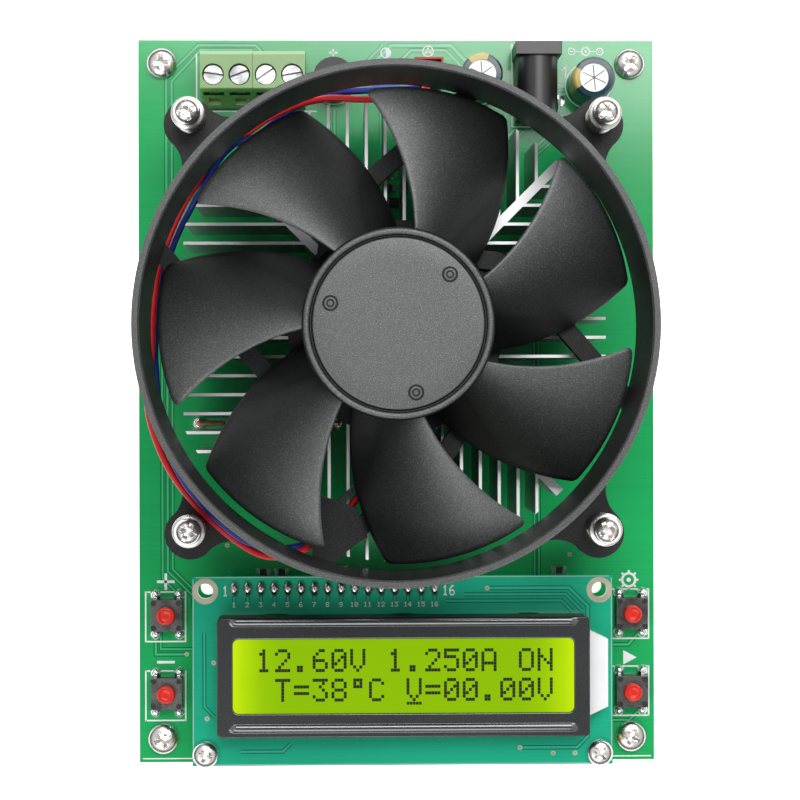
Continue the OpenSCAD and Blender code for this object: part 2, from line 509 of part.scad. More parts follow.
// ---- other board parts ---------------------------------------------------
module dc_jack_body() color([0.09, 0.09, 0.1]) translate([jack_x, 0, zt]) difference() {
  union() {
    translate([-4.4, 65.8, 0]) cube([8.8, 2.5, 11]);
    translate([-3.9, 54, 0]) cube([7.8, 12, 6.5]);
    translate([0, 54, 6.5]) rotate([-90, 0, 0]) cylinder(r = 3.9, h = 12, $fn = 64);
  }
  translate([0, 58.6, 6.5]) rotate([-90, 0, 0]) cylinder(r = 3.2, h = 20, $fn = 48);
  translate([-0.7, 59.6, -1]) cube([1.4, 2.9, 5.4]);
  translate([-0.55, 53, -1]) cube([1.1, 2.6, 8.2]);
  translate([2.9, 57.6, -1]) cube([3, 1.6, 5.4]);
  translate([0, 53, 6.5]) rotate([-90, 0, 0]) cylinder(r = 1.1, h = 8, $fn = 32);
}
module dc_jack_contacts() color("silver") translate([jack_x, 0, zt]) {
  translate([0, 54.2, 6.5]) rotate([-90, 0, 0]) cylinder(r = 1.05, h = 13, $fn = 32);
  translate([-0.5, 54.7, -3]) cube([1, 0.5, 9.6]);
  translate([-0.6, 60.6, -3]) cube([1.2, 0.5, 6.2]);
  translate([3.95, 58.1, -3]) cube([0.5, 0.8, 6.6]);
}
module capacitor_cans() color("silver") for (c = caps_xy) translate([c[0], c[1], zt]) {
  rotate_extrude($fn = 64)
    polygon([[0, 0.3], [3.5, 0.3], [3.8, 0.7], [3.8, 1.5], [3.4, 1.9], [3.4, 2.4], [3.8, 2.8],
             [3.8, 11.4], [3.4, 11.75], [2.9, 11.85], [0, 11.85]]);
  for (s = [-1, 1]) translate([s * 1.75, 0, -3]) cylinder(r = 0.3, h = 3.4, $fn = 24);
}
module capacitor_sleeves() color([0.09, 0.2, 0.2]) for (c = caps_xy) translate([c[0], c[1], zt])
  rotate_extrude($fn = 64)
    polygon([[3.8, 2.8], [4, 2.8], [4, 11.5], [3.6, 11.95], [2.7, 12.05], [2.7, 11.86], [2.9, 11.85], [3.4, 11.75], [3.8, 11.4]]);
module buzzer() color([0.1, 0.1, 0.1]) translate([buzzer_xy[0], buzzer_xy[1], zt]) {
  difference() {
    translate([0, 0, 0.2]) cylinder(r = 4, h = 5.6, $fn = 64);
    translate([0, 0, 3]) cylinder(r = 0.9, h = 9, $fn = 32);
  }
  for (s = [-1, 1]) translate([s * 2.5, 0, -3]) cylinder(r = 0.3, h = 3.4, $fn = 24);
}
module trimmer_body() color("royalblue") translate([trim_xy[0], trim_xy[1], zt]) {
  difference() {
    translate([-2.5, -2.5, 0.3]) cube([5, 5, 4.6]);
    translate([0, 0, 2.9]) cylinder(r = 1.9, h = 9, $fn = 48);
  }
  for (p = trim_pins) translate([p[0], p[1], -3]) cylinder(r = 0.3, h = 3.5, $fn = 24);
}
module trimmer_rotor() color("white") translate([trim_xy[0], trim_xy[1], zt + 3]) difference() {
  cylinder(r = 1.83, h = 2.1, $fn = 48);
  for (a = [0, 90]) rotate(a) translate([-1.3, -0.3, 1.1]) cube([2.6, 0.6, 2]);
}
module at_keys() { for (k = keys) translate([k[0], k[1], zt]) children(); }
module switch_bases() color([0.1, 0.1, 0.1]) at_keys() {
  difference() {
    translate([-3, -3, 0]) cube([6, 6, 3.2]);
    translate([0, 0, 1.6]) cylinder(r = 2.3, h = 3, $fn = 48);
  }
  for (sx = [-1, 1]) for (sy = [-1, 1]) translate([sx * 2.4, sy * 2.4, 3.1]) cylinder(r = 0.5, h = 0.6, $fn = 24);
}
module switch_covers() color("silver") at_keys() difference() {
  translate([-3, -3, 3.2]) cube([6, 6, 0.3]);
  cylinder(r = key_d / 2 + 0.1, h = 9, $fn = 48);
  for (sx = [-1, 1]) for (sy = [-1, 1]) translate([sx * 2.4, sy * 2.4, 3]) cylinder(r = 0.5, h = 2, $fn = 24);
}
module switch_leads() color("silver") at_keys()
  for (sx = [-1, 1]) for (sy = [-1, 1]) translate([sx * 2.25, 0, 0]) {
    translate([-0.35, sy > 0 ? 3 : -3.4, 0.9]) cube([0.7, 0.4, 0.4]);
    translate([-0.35, sy > 0 ? 3.1 : -3.4, -3]) cube([0.7, 0.3, 4.3]);
  }
module switch_domes() color("gainsboro") at_keys() translate([0, 0, 1.6])
  rotate_extrude($fn = 48) polygon([[0, 0.4], [0, 0.5], [1.1, 0.4], [1.9, 0.1], [2.1, 0], [1.8, 0], [1, 0.28]]);
module key_cap(i) color("red") translate([keys[i][0], keys[i][1], zt]) rotate_extrude($fn = 48)
  polygon([[0, 2.45], [2.15, 2.45], [2.15, 3.15], [key_d / 2, 3.15], [key_d / 2, 4.7], [key_d / 2 - 0.3, 5], [0, 5]]);
module button_up() key_cap(0);
module button_down() key_cap(1);
module button_set() key_cap(2);
module button_start() key_cap(3);
module chip(x, y, w, l, h, n) {
  translate([x - w / 2, y - l / 2, zt + 0.15]) cube([w, l, h]);
  for (s = [-1, 1]) for (i = [0:n - 1]) translate([x + s * (w / 2 + 0.55), y + (i - (n - 1) / 2) * 1.27, zt]) {
    translate([-0.6, -0.2, 0]) cube([1.2, 0.4, 0.18]);
  }
}
module control_chips() color([0.12, 0.12, 0.13]) {
  chip(lcd_x - 8, lcd_y, 7.5, 17.9, 2.3, 14);
  chip(lcd_x + 14, lcd_y + 4, 3.9, 4.9, 1.5, 4);
  chip(lcd_x + 26, lcd_y - 3, 6.5, 6.2, 2.3, 2);
}

main_pcb();
standoffs();
corner_screws();
heatsink();
thermal_pad();
power_mosfet();
shunt_wire();
temperature_sensor();
fan_frame();
cooler_screws();
cooler_springs();
cooler_nuts();
bearing_sleeve();
stator_core();
stator_coils();
fan_driver_board();
fan_rotor();
rotor_yoke();
rotor_magnet();
fan_shaft();
fan_wire_red();
fan_wire_blue();
fan_header();
fan_plug();
lcd_pcb();
lcd_bezel();
lcd_glass();
lcd_backlight();
lcd_zebra_strips();
lcd_header_base();
lcd_header_pins();
lcd_spacers();
lcd_screws();
lcd_driver_domes();
terminal_housings();
terminal_pins();
terminal_screw_1();
terminal_screw_2();
terminal_screw_3();
terminal_screw_4();
wire_clamp_1();
wire_clamp_2();
wire_clamp_3();
wire_clamp_4();
dc_jack_body();
dc_jack_contacts();
capacitor_cans();
capacitor_sleeves();
buzzer();
trimmer_body();
trimmer_rotor();
switch_bases();
switch_covers();
switch_leads();
switch_domes();
button_up();
button_down();
button_set();
button_start();
control_chips();
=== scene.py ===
import bpy, bmesh, math
from math import sin, cos, pi, radians, hypot
from mathutils import Vector, Matrix, Euler


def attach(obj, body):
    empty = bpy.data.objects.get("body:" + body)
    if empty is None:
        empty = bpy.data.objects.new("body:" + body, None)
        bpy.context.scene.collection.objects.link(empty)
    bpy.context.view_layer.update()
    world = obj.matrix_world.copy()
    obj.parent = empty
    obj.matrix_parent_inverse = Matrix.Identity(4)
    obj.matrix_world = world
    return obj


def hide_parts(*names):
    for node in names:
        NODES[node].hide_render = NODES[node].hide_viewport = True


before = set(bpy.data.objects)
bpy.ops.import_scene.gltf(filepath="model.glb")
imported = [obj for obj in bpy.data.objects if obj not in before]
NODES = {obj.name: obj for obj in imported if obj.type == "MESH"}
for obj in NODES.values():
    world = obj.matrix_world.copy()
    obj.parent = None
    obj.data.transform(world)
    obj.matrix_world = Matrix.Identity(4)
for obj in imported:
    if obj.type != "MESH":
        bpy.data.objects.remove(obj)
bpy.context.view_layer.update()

MM = 0.001
ZB, ZT = 8.0, 9.6             # underside and top of the main board, mm
CX, CY = -1.0, 13.2           # cooler axis
LX, LY = 0.8, -51.6           # display centre
LBOT, LTOP = ZT + 8.0, ZT + 9.6   # underside and top of the display board
BTOP = LTOP + 6.6             # top of the bezel
GTOP = LTOP + 6.0             # top of the display glass
KEYS = [(-44.6, -41.3), (-44.6, -56.4), (45.4, -41.3), (45.4, -56.4)]
CAPS = [(37.3, 61.2), (16.0, 61.9)]
BUZZ = (-12.1, 62.0)
TRIM = (-2.0, 62.9)
FHDR = (6.2, 63.5)
POLES = [-35.0, -30.0, -25.0, -20.0]
JX = 26.9
LPX = [LX - 32 + i * 2.54 for i in range(16)]
LPY = LY + 15.5
scene = bpy.context.scene
coll = scene.collection


# ---------------------------------------------------------------- materials
def lin(c):
    c /= 255.0
    return c / 12.92 if c <= 0.04045 else ((c + 0.055) / 1.055) ** 2.4


def srgb(r, g, b):
    return (lin(r), lin(g), lin(b), 1.0)


def shade(col, k):
    return (min(1, col[0] * k), min(1, col[1] * k), min(1, col[2] * k), 1.0)


class Mat:
    """One procedural material: colour, roughness and bump all vary over the surface."""

    def __init__(self, name):
        self.m = bpy.data.materials.new(name)
        self.m.use_nodes = True
        self.nt = self.m.node_tree
        self.nt.nodes.clear()
        self.out = self.nt.nodes.new("ShaderNodeOutputMaterial")
        self.b = self.nt.nodes.new("ShaderNodeBsdfPrincipled")
        self.nt.links.new(self.b.outputs[0], self.out.inputs[0])
        self.tc = self.nt.nodes.new("ShaderNodeTexCoord")

    def link(self, a, b):
        self.nt.links.new(a, b)

    def coords(self, scale=(1, 1, 1), rot=(0, 0, 0), loc=(0, 0, 0)):
        mp = self.nt.nodes.new("ShaderNodeMapping")
        mp.inputs["Scale"].default_value = scale
        mp.inputs["Rotation"].default_value = rot
        mp.inputs["Location"].default_value = loc
        self.link(self.tc.outputs["Object"], mp.inputs["Vector"])
        return mp.outputs["Vector"]

    def noise(self, scale, detail=3.0, rough=0.55, vec=None, dist=0.0):
        n = self.nt.nodes.new("ShaderNodeTexNoise")
        n.inputs["Scale"].default_value = scale
        n.inputs["Detail"].default_value = detail
        n.inputs["Roughness"].default_value = rough
        n.inputs["Distortion"].default_value = dist
        self.link(vec or self.tc.outputs["Object"], n.inputs["Vector"])
        return n.outputs["Fac"]

    def ramp(self, fac, stops):
        r = self.nt.nodes.new("ShaderNodeValToRGB")
        e = r.color_ramp.elements
        while len(e) < len(stops):
            e.new(0.5)
        for el, (p, c) in zip(e, stops):
            el.position = p
            el.color = c if len(c) == 4 else (*c, 1)
        self.link(fac, r.inputs["Fac"])
        return r.outputs["Color"]

    def span(self, fac, lo, hi, a=0.3, b=0.7):
        r = self.nt.nodes.new("ShaderNodeMapRange")
        r.inputs["From Min"].default_value = a
        r.inputs["From Max"].default_value = b
        r.inputs["To Min"].default_value = lo
        r.inputs["To Max"].default_value = hi
        self.link(fac, r.inputs["Value"])
        return r.outputs["Result"]

    def math(self, op, a, b):
        n = self.nt.nodes.new("ShaderNodeMath")
        n.operation = op
        for i, v in enumerate((a, b)):
            if isinstance(v, (int, float)):
                n.inputs[i].default_value = v
            else:
                self.link(v, n.inputs[i])
        return n.outputs[0]

    def mix(self, fac, a, b, mode="MIX"):
        n = self.nt.nodes.new("ShaderNodeMix")
        n.data_type = "RGBA"
        n.blend_type = mode
        for sock, v in ((n.inputs[0], fac), (n.inputs[6], a), (n.inputs[7], b)):
            if isinstance(v, (int, float, tuple)):
                sock.default_value = v
            else:
                self.link(v, sock)
        return n.outputs[2]

    def bump(self, height, strength, dist_mm, normal=None):
        n = self.nt.nodes.new("ShaderNodeBump")
        n.inputs["Strength"].default_value = strength
        n.inputs["Distance"].default_value = dist_mm * MM
        self.link(height, n.inputs["Height"])
        if normal is not None:
            self.link(normal, n.inputs["Normal"])
        return n.outputs["Normal"]

    def set(self, **kw):
        for k, v in kw.items():
            self.b.inputs[k.replace("_", " ")].default_value = v
        return self


def plastic(name, col, var=0.10, rough=(0.35, 0.5), grain=6000, bump=0.12, depth=0.008, blot=120, coat=0.0, spec=0.5):
    M = Mat(name)
    n1 = M.noise(blot, 3)
    n2 = M.noise(grain, 3, 0.6)
    c = M.ramp(n1, [(0.3, shade(col, 1 - var)), (0.7, shade(col, 1 + var))])
    c = M.mix(M.span(n2, 0.0, 0.25), c, shade(col, 0.72))
    M.link(c, M.b.inputs["Base Color"])
    M.link(M.span(n2, rough[0], rough[1]), M.b.inputs["Roughness"])
    M.link(M.bump(n2, bump, depth), M.b.inputs["Normal"])
    M.b.inputs["Specular IOR Level"].default_value = spec
    if coat:
        M.set(Coat_Weight=coat, Coat_Roughness=0.08)
    return M.m


def metal(name, col, var=0.08, rough=(0.16, 0.3), stretch=(1, 1, 1), scale=9000, bump=0.10, depth=0.003, dirt=None,
          metallic=1.0, blot=400):
    M = Mat(name)
    M.set(Metallic=metallic)
    v = M.coords(stretch)
    n1 = M.noise(scale, 3, 0.6, v)
    n2 = M.noise(blot, 3)
    c = M.ramp(n1, [(0.25, shade(col, 1 - var)), (0.75, shade(col, 1 + var))])
    if dirt:
        c = M.mix(M.span(n2, 0.0, 0.7, 0.5, 0.72), c, dirt)
    M.link(c, M.b.inputs["Base Color"])
    M.link(M.span(n2, rough[0], rough[1]), M.b.inputs["Roughness"])
    M.link(M.bump(n1, bump, depth), M.b.inputs["Normal"])
    return M.m


def fan_plastic(name, col, lite, rough=(0.40, 0.52), grain=5600, amount=0.5, shade_and_finish_below=None):
    """Black moulding with a spark-eroded skin: fine grains over a slightly uneven tone; steep faces are painted darker
    as shade, and below a given height the whole moulding is painted darker too, with less gloss there.
    """
    M = Mat(name)
    fine = M.noise(grain, 2, 0.6)
    mid = M.noise(1600, 3, 0.6)
    blot = M.noise(55, 3)
    base = M.ramp(blot, [(0.3, shade(col, 0.88)), (0.7, shade(col, 1.12))])
    base = M.mix(M.span(fine, 0.6, 0.0, 0.30, 0.48), base, shade(col, 0.35))
    c = M.mix(M.span(fine, 0.0, amount, 0.52, 0.70), base, lite)
    M.link(M.span(mid, rough[0], rough[1]), M.b.inputs["Roughness"])
    sep = M.nt.nodes.new("ShaderNodeSeparateXYZ")
    if shade_and_finish_below:
        M.link(M.tc.outputs["Object"], sep.inputs[0])
        # painted shade: below the given height the tone is pulled a quarter of the way to dark and the gloss is
        # lowered; steep faces are painted darker as well
        deep = M.span(sep.outputs[2], 0.0, 1.0, (shade_and_finish_below - 1.0) * MM, (shade_and_finish_below + 1.0) * MM)
        c = M.mix(deep, M.mix(0.25, shade(col, 0.35), c), c)
        geo = M.nt.nodes.new("ShaderNodeNewGeometry")
        nz = M.nt.nodes.new("ShaderNodeSeparateXYZ")
        M.link(geo.outputs["Normal"], nz.inputs[0])
        c = M.mix(M.span(nz.outputs[2], 0.0, 1.0, 0.15, 0.75), shade(col, 0.35), c)
        M.link(M.span(deep, 0.30, 0.9, 0.0, 1.0), M.b.inputs["Specular IOR Level"])
    else:
        # painted shade: steeply tilted faces are darkened and made less specular, faces turned up keep the lighter tone
        geo = M.nt.nodes.new("ShaderNodeNewGeometry")
        M.link(geo.outputs["Normal"], sep.inputs[0])
        tilt_shade = M.span(sep.outputs[2], 0.0, 1.0, 0.56, 0.975)
        c = M.mix(tilt_shade, M.mix(0.10, shade(col, 0.12), c), c)
        M.link(M.span(tilt_shade, 0.08, 1.0, 0.0, 1.0), M.b.inputs["Specular IOR Level"])
    M.link(c, M.b.inputs["Base Color"])
    n = M.bump(fine, 0.75, 0.024)
    n = M.bump(mid, 0.10, 0.03, n)
    M.link(n, M.b.inputs["Normal"])
    return M.m


def sawn_metal(name):
    """Extrusion: bright sawn ends on top, duller drawn sides that are also painted dark as the shade between the fins.
    """
    M = Mat(name)
    geo = M.nt.nodes.new("ShaderNodeNewGeometry")
    sep = M.nt.nodes.new("ShaderNodeSeparateXYZ")
    M.link(geo.outputs["Normal"], sep.inputs[0])
    up = M.span(sep.outputs[2], 0.0, 1.0, 0.35, 0.75)
    side = M.noise(6500, 3, 0.6, M.coords((1, 1, 0.03)))
    saw = M.noise(8000, 3, 0.6, M.coords((0.15, 1, 1), (0, 0, 0.5)))
    # painted shade: the side faces take a dark tone for the shade between the fins; the tops keep the metal's own
    # bright tone
    cs = M.ramp(side, [(0.25, (0.30, 0.31, 0.32)), (0.75, (0.46, 0.47, 0.48))])
    ct = M.ramp(saw, [(0.25, (0.90, 0.905, 0.91)), (0.75, (0.985, 0.985, 0.985))])
    M.link(M.mix(up, cs, ct), M.b.inputs["Base Color"])
    M.link(M.span(up, 0.95, 1.0, 0.0, 1.0), M.b.inputs["Metallic"])
    M.link(M.mix(up, M.span(M.noise(300, 3), 0.30, 0.42), M.span(saw, 0.40, 0.50)), M.b.inputs["Roughness"])
    M.link(M.bump(side, 0.10, 0.004), M.b.inputs["Normal"])
    return M.m


def board_mask(name, col, spec=0.75, rough=(0.11, 0.18), stripe=0.14):
    """Glossy solder mask: slow drift of tone, a faint drawn stripe and fine dust."""
    M = Mat(name)
    slow = M.noise(26, 3)
    fine = M.noise(5200, 2)
    st = M.noise(2600, 2, 0.5, M.coords((0.012, 1, 1)))
    c = M.ramp(slow, [(0.3, shade(col, 0.9)), (0.7, shade(col, 1.1))])
    c = M.mix(M.span(st, 0.0, stripe, 0.42, 0.62), c, shade(col, 0.62))
    c = M.mix(M.span(fine, 0.0, 0.10, 0.5, 0.72), c, shade(col, 1.5))
    M.link(c, M.b.inputs["Base Color"])
    M.link(M.span(fine, rough[0], rough[1]), M.b.inputs["Roughness"])
    M.link(M.bump(st, 0.05, 0.01), M.b.inputs["Normal"])
    M.b.inputs["Specular IOR Level"].default_value = spec
    return M.m


MAT = {}
MAT["fan"] = fan_plastic("fan_moulding", (0.034, 0.0368, 0.0372), (0.20, 0.206, 0.206, 1), amount=0.75)
MAT["frame"] = fan_plastic("frame_moulding", (0.026, 0.0275, 0.0275), (0.19, 0.193, 0.192, 1), amount=0.8, shade_and_finish_below=46.0)
# painted shade: dark colour for the grooves of the hub's ejector marks and rim step
MAT["groove_shade"] = plastic("groove_shade", (0.010, 0.0105, 0.0105), 0.1, (0.5, 0.65), 5600, 0.2, 0.01, spec=0.25)
MAT["board"] = board_mask("green_mask", (0.013, 0.385, 0.108))
MAT["board_trace"] = board_mask("green_mask_over_copper", (0.050, 0.52, 0.20), stripe=0.04)
MAT["board_gap"] = board_mask("green_mask_gap", (0.008, 0.150, 0.050), stripe=0.04)
MAT["lcd_board"] = board_mask("teal_mask", (0.012, 0.390, 0.225))
MAT["lcd_trace"] = board_mask("teal_mask_over_copper", (0.030, 0.43, 0.27), stripe=0.04)
MAT["lcd_gap"] = board_mask("teal_mask_gap", (0.006, 0.16, 0.10), stripe=0.04)
MAT["laminate"] = plastic("bare_laminate", (0.46, 0.44, 0.32), 0.1, (0.6, 0.8), 5000, 0.15, 0.01)
MAT["silk"] = plastic("white_ink", (0.84, 0.86, 0.84), 0.05, (0.5, 0.7), 6000, 0.08, 0.006)
MAT["alu"] = sawn_metal("extruded_aluminium")
MAT["steel"] = metal("nickel_steel", (0.66, 0.645, 0.62), 0.08, (0.20, 0.32), (1, 1, 1), 9000, 0.06, 0.002)
MAT["steel_dark"] = metal("worn_steel", (0.60, 0.59, 0.58), 0.08, (0.22, 0.40), (1, 1, 1), 9000, 0.10, 0.003)
# painted light: the cross recess is made lighter than the head for the light caught in it; the brown blots are stains
MAT["recess"] = metal("recess_steel_painted_light", (0.86, 0.82, 0.77), 0.10, (0.18, 0.34), (1, 1, 1), 5200, 0.20, 0.006, (0.40, 0.34, 0.28, 1))
MAT["solder"] = metal("solder", (0.84, 0.85, 0.86), 0.06, (0.10, 0.26), (1, 1, 1), 6000, 0.12, 0.006)
MAT["tin_pad"] = metal("tinned_pad", (0.52, 0.47, 0.36), 0.06, (0.30, 0.45), (1, 1, 1), 7000, 0.10, 0.004, metallic=0.6)
MAT["brass"] = metal("turned_brass", (0.58, 0.42, 0.17), 0.06, (0.18, 0.32), (1, 1, 0.05), 8000, 0.08, 0.003)
MAT["gold"] = metal("gilt_pin", (0.92, 0.76, 0.40), 0.06, (0.14, 0.28), (1, 1, 0.05), 8000, 0.06, 0.002)
MAT["copper"] = metal("copper_wire", (0.62, 0.30, 0.17), 0.10, (0.22, 0.4), (0.05, 1, 1), 8000, 0.10, 0.003, (0.10, 0.045, 0.028, 1))
MAT["winding"] = metal("enamelled_winding", (0.62, 0.27, 0.12), 0.16, (0.2, 0.36), (1, 1, 0.04), 5200, 0.5, 0.05)
MAT["bronze"] = metal("sintered_bronze", (0.55, 0.40, 0.22), 0.14, (0.4, 0.6), (1, 1, 1), 9000, 0.3, 0.008)
MAT["lamin"] = metal("laminated_steel", (0.42, 0.43, 0.45), 0.14, (0.35, 0.5), (0.03, 0.03, 1), 5000, 0.3, 0.02)
MAT["ferrite"] = plastic("bonded_ferrite", (0.035, 0.035, 0.037), 0.15, (0.5, 0.7), 6000, 0.2, 0.01)
MAT["epoxy"] = plastic("chip_epoxy", (0.022, 0.022, 0.024), 0.15, (0.42, 0.6), 7000, 0.2, 0.008)
MAT["black"] = plastic("black_moulding", (0.020, 0.020, 0.022), 0.15, (0.28, 0.42), 6000, 0.12, 0.008)
MAT["jack"] = plastic("inlet_moulding", (0.010, 0.0105, 0.0108), 0.15, (0.30, 0.42), 6000, 0.12, 0.008, spec=0.8)
MAT["red_wire"] = plastic("red_insulation", (0.56, 0.010, 0.013), 0.08, (0.30, 0.42), 4000, 0.06, 0.006, spec=0.3)
MAT["blue_wire"] = plastic("blue_insulation", (0.010, 0.026, 0.22), 0.10, (0.30, 0.42), 4000, 0.06, 0.006, spec=0.3)
MAT["red_plug"] = plastic("red_connector", (0.50, 0.030, 0.024), 0.08, (0.35, 0.5), 6000, 0.10, 0.008)
MAT["dark_plug"] = plastic("dark_red_connector", (0.22, 0.010, 0.008), 0.08, (0.35, 0.5), 6000, 0.10, 0.008)
MAT["cap_red"] = plastic("red_key_cap", (0.70, 0.022, 0.012), 0.06, (0.20, 0.32), 5000, 0.06, 0.006, spec=0.35)
MAT["green_block"] = plastic("green_terminal", (0.185, 0.370, 0.100), 0.05, (0.26, 0.38), 6000, 0.10, 0.008, spec=1.0)
MAT["blue_trim"] = plastic("blue_trimmer", (0.02, 0.10, 0.42), 0.08, (0.3, 0.45), 6000, 0.12, 0.008)
MAT["white"] = plastic("white_diffuser", (0.88, 0.89, 0.90), 0.03, (0.4, 0.55), 6000, 0.05, 0.006)
MAT["zebra"] = plastic("zebra_rubber", (0.45, 0.22, 0.22), 0.1, (0.6, 0.75), 5000, 0.1, 0.01)
MAT["pad"] = plastic("thermal_pad", (0.62, 0.62, 0.60), 0.06, (0.6, 0.8), 5000, 0.15, 0.01)
MAT["sleeve"] = plastic("capacitor_film", (0.016, 0.050, 0.062), 0.10, (0.14, 0.24), 5000, 0.05, 0.006)
MAT["sleeve_gold"] = plastic("capacitor_stripe", (0.56, 0.44, 0.12), 0.06, (0.2, 0.3), 5000, 0.05, 0.006)
MAT["can_top"] = metal("scored_can", (0.50, 0.505, 0.505), 0.06, (0.30, 0.42), (1, 1, 1), 9000, 0.06, 0.002, metallic=0.75)
MAT["term_screw"] = metal("plated_screw", (0.52, 0.525, 0.53), 0.10, (0.30, 0.42), (1, 0.06, 1), 5200, 0.30, 0.006, (0.14, 0.15, 0.17, 1))
# the cut edge's own tone with a painted highlight along the display board's rim
MAT["cut_edge"] = plastic("cut_board_edge_highlight", (0.30, 0.50, 0.42), 0.12, (0.55, 0.7), 5200, 0.10, 0.006)
# painted shade: darker stand-in for the cover's rolled rim and outer wall, so the rim does not read light
MAT["bezel_edge"] = plastic("cover_rim_shade", (0.008, 0.0085, 0.009), 0.12, (0.40, 0.55), 5200, 0.06, 0.004, spec=0.25)
# painted shade: dark colour for the vent score lines of the can tops
MAT["score"] = metal("score_line_shade", (0.10, 0.105, 0.11), 0.08, (0.3, 0.45), (1, 1, 1), 9000, 0.06, 0.002)
MAT["key_plate"] = metal("key_cover", (0.27, 0.26, 0.255), 0.14, (0.20, 0.34), (1, 0.05, 1), 7000, 0.14, 0.003, (0.09, 0.082, 0.08, 1))
# painted reflection: darker solder for the header joints, standing in for the dark fan reflected in them
MAT["solder_painted_dark_reflection"] = metal("solder_painted_dark_reflection", (0.50, 0.50, 0.49), 0.10, (0.16, 0.32), (1, 1, 1), 6000, 0.14, 0.006, (0.22, 0.21, 0.20, 1))


def bezel_mat():
    M = Mat("black_lacquered_steel")
    n = M.noise(5200, 3)
    s = M.noise(45, 3)
    col = (0.024, 0.0275, 0.0300)
    c = M.ramp(s, [(0.3, shade(col, 0.85)), (0.7, shade(col, 1.2))])
    M.link(M.mix(M.span(n, 0.0, 0.3, 0.55, 0.75), c, shade(col, 2.2)), M.b.inputs["Base Color"])
    M.link(M.span(n, 0.20, 0.28), M.b.inputs["Roughness"])
    M.link(M.bump(n, 0.05, 0.004), M.b.inputs["Normal"])
    M.set(Coat_Weight=0.8, Coat_Roughness=0.10, Coat_IOR=1.7)
    M.b.inputs["Specular IOR Level"].default_value = 0.9
    return M.m


MAT["bezel"] = bezel_mat()


def glass_mat():
    """Yellow-green display field lit from behind, brighter toward both ends."""
    M = Mat("lit_display")
    sep = M.nt.nodes.new("ShaderNodeSeparateXYZ")
    M.link(M.tc.outputs["Object"], sep.inputs[0])
    x = M.math("ABSOLUTE", M.math("SUBTRACT", sep.outputs[0], LX * MM), 0.0)
    n = M.noise(70, 3)
    x = M.math("ADD", x, M.math("MULTIPLY", M.math("SUBTRACT", n, 0.5), 0.004))
    edge = M.span(x, 0.0, 1.0, 0.0225, 0.0322)
    body = M.ramp(edge, [(0.0, srgb(140, 190, 1)), (0.4, srgb(151, 200, 1)), (0.78, srgb(182, 224, 3)), (1.0, srgb(206, 240, 14))])
    c = M.mix(M.span(n, 0.0, 0.12), body, srgb(128, 176, 0))
    M.link(c, M.b.inputs["Emission Color"])
    M.link(M.mix(0.94, c, (0.01, 0.016, 0.0, 1)), M.b.inputs["Base Color"])
    M.set(Emission_Strength=0.94)
    f = M.noise(5000, 2)
    M.link(M.span(f, 0.30, 0.42), M.b.inputs["Roughness"])
    M.link(M.bump(f, 0.03, 0.004), M.b.inputs["Normal"])
    M.b.inputs["Specular IOR Level"].default_value = 0.06
    return M.m


MAT["glass"] = glass_mat()
MAT["lcd_ink"] = plastic("display_segments", (0.010, 0.018, 0.002), 0.1, (0.35, 0.5), 5000, 0.05, 0.004, spec=0.2)


# ---------------------------------------------------------------- mesh tools
def make(name, verts, faces, mat, smooth=True, body="board", slot=None, replaces=None, mats=None, mi=None):
    me = bpy.data.meshes.new(name)
    me.from_pydata([(x * MM, y * MM, z * MM) for x, y, z in verts], [], faces)
    me.materials.append(mat)
    for m in mats or ():
        me.materials.append(m)
    if mi:
        me.polygons.foreach_set("material_index", mi)
    for p in me.polygons:
        p.use_smooth = smooth
    me.update()
    bm = bmesh.new()
    bm.from_mesh(me)
    bmesh.ops.recalc_face_normals(bm, faces=bm.faces)
    bm.to_mesh(me)
    bm.free()
    o = bpy.data.objects.new(name, me)
    coll.objects.link(o)
    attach(o, body)
    if replaces:
        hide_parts(*([replaces] if isinstance(replaces, str) else replaces))
    return o


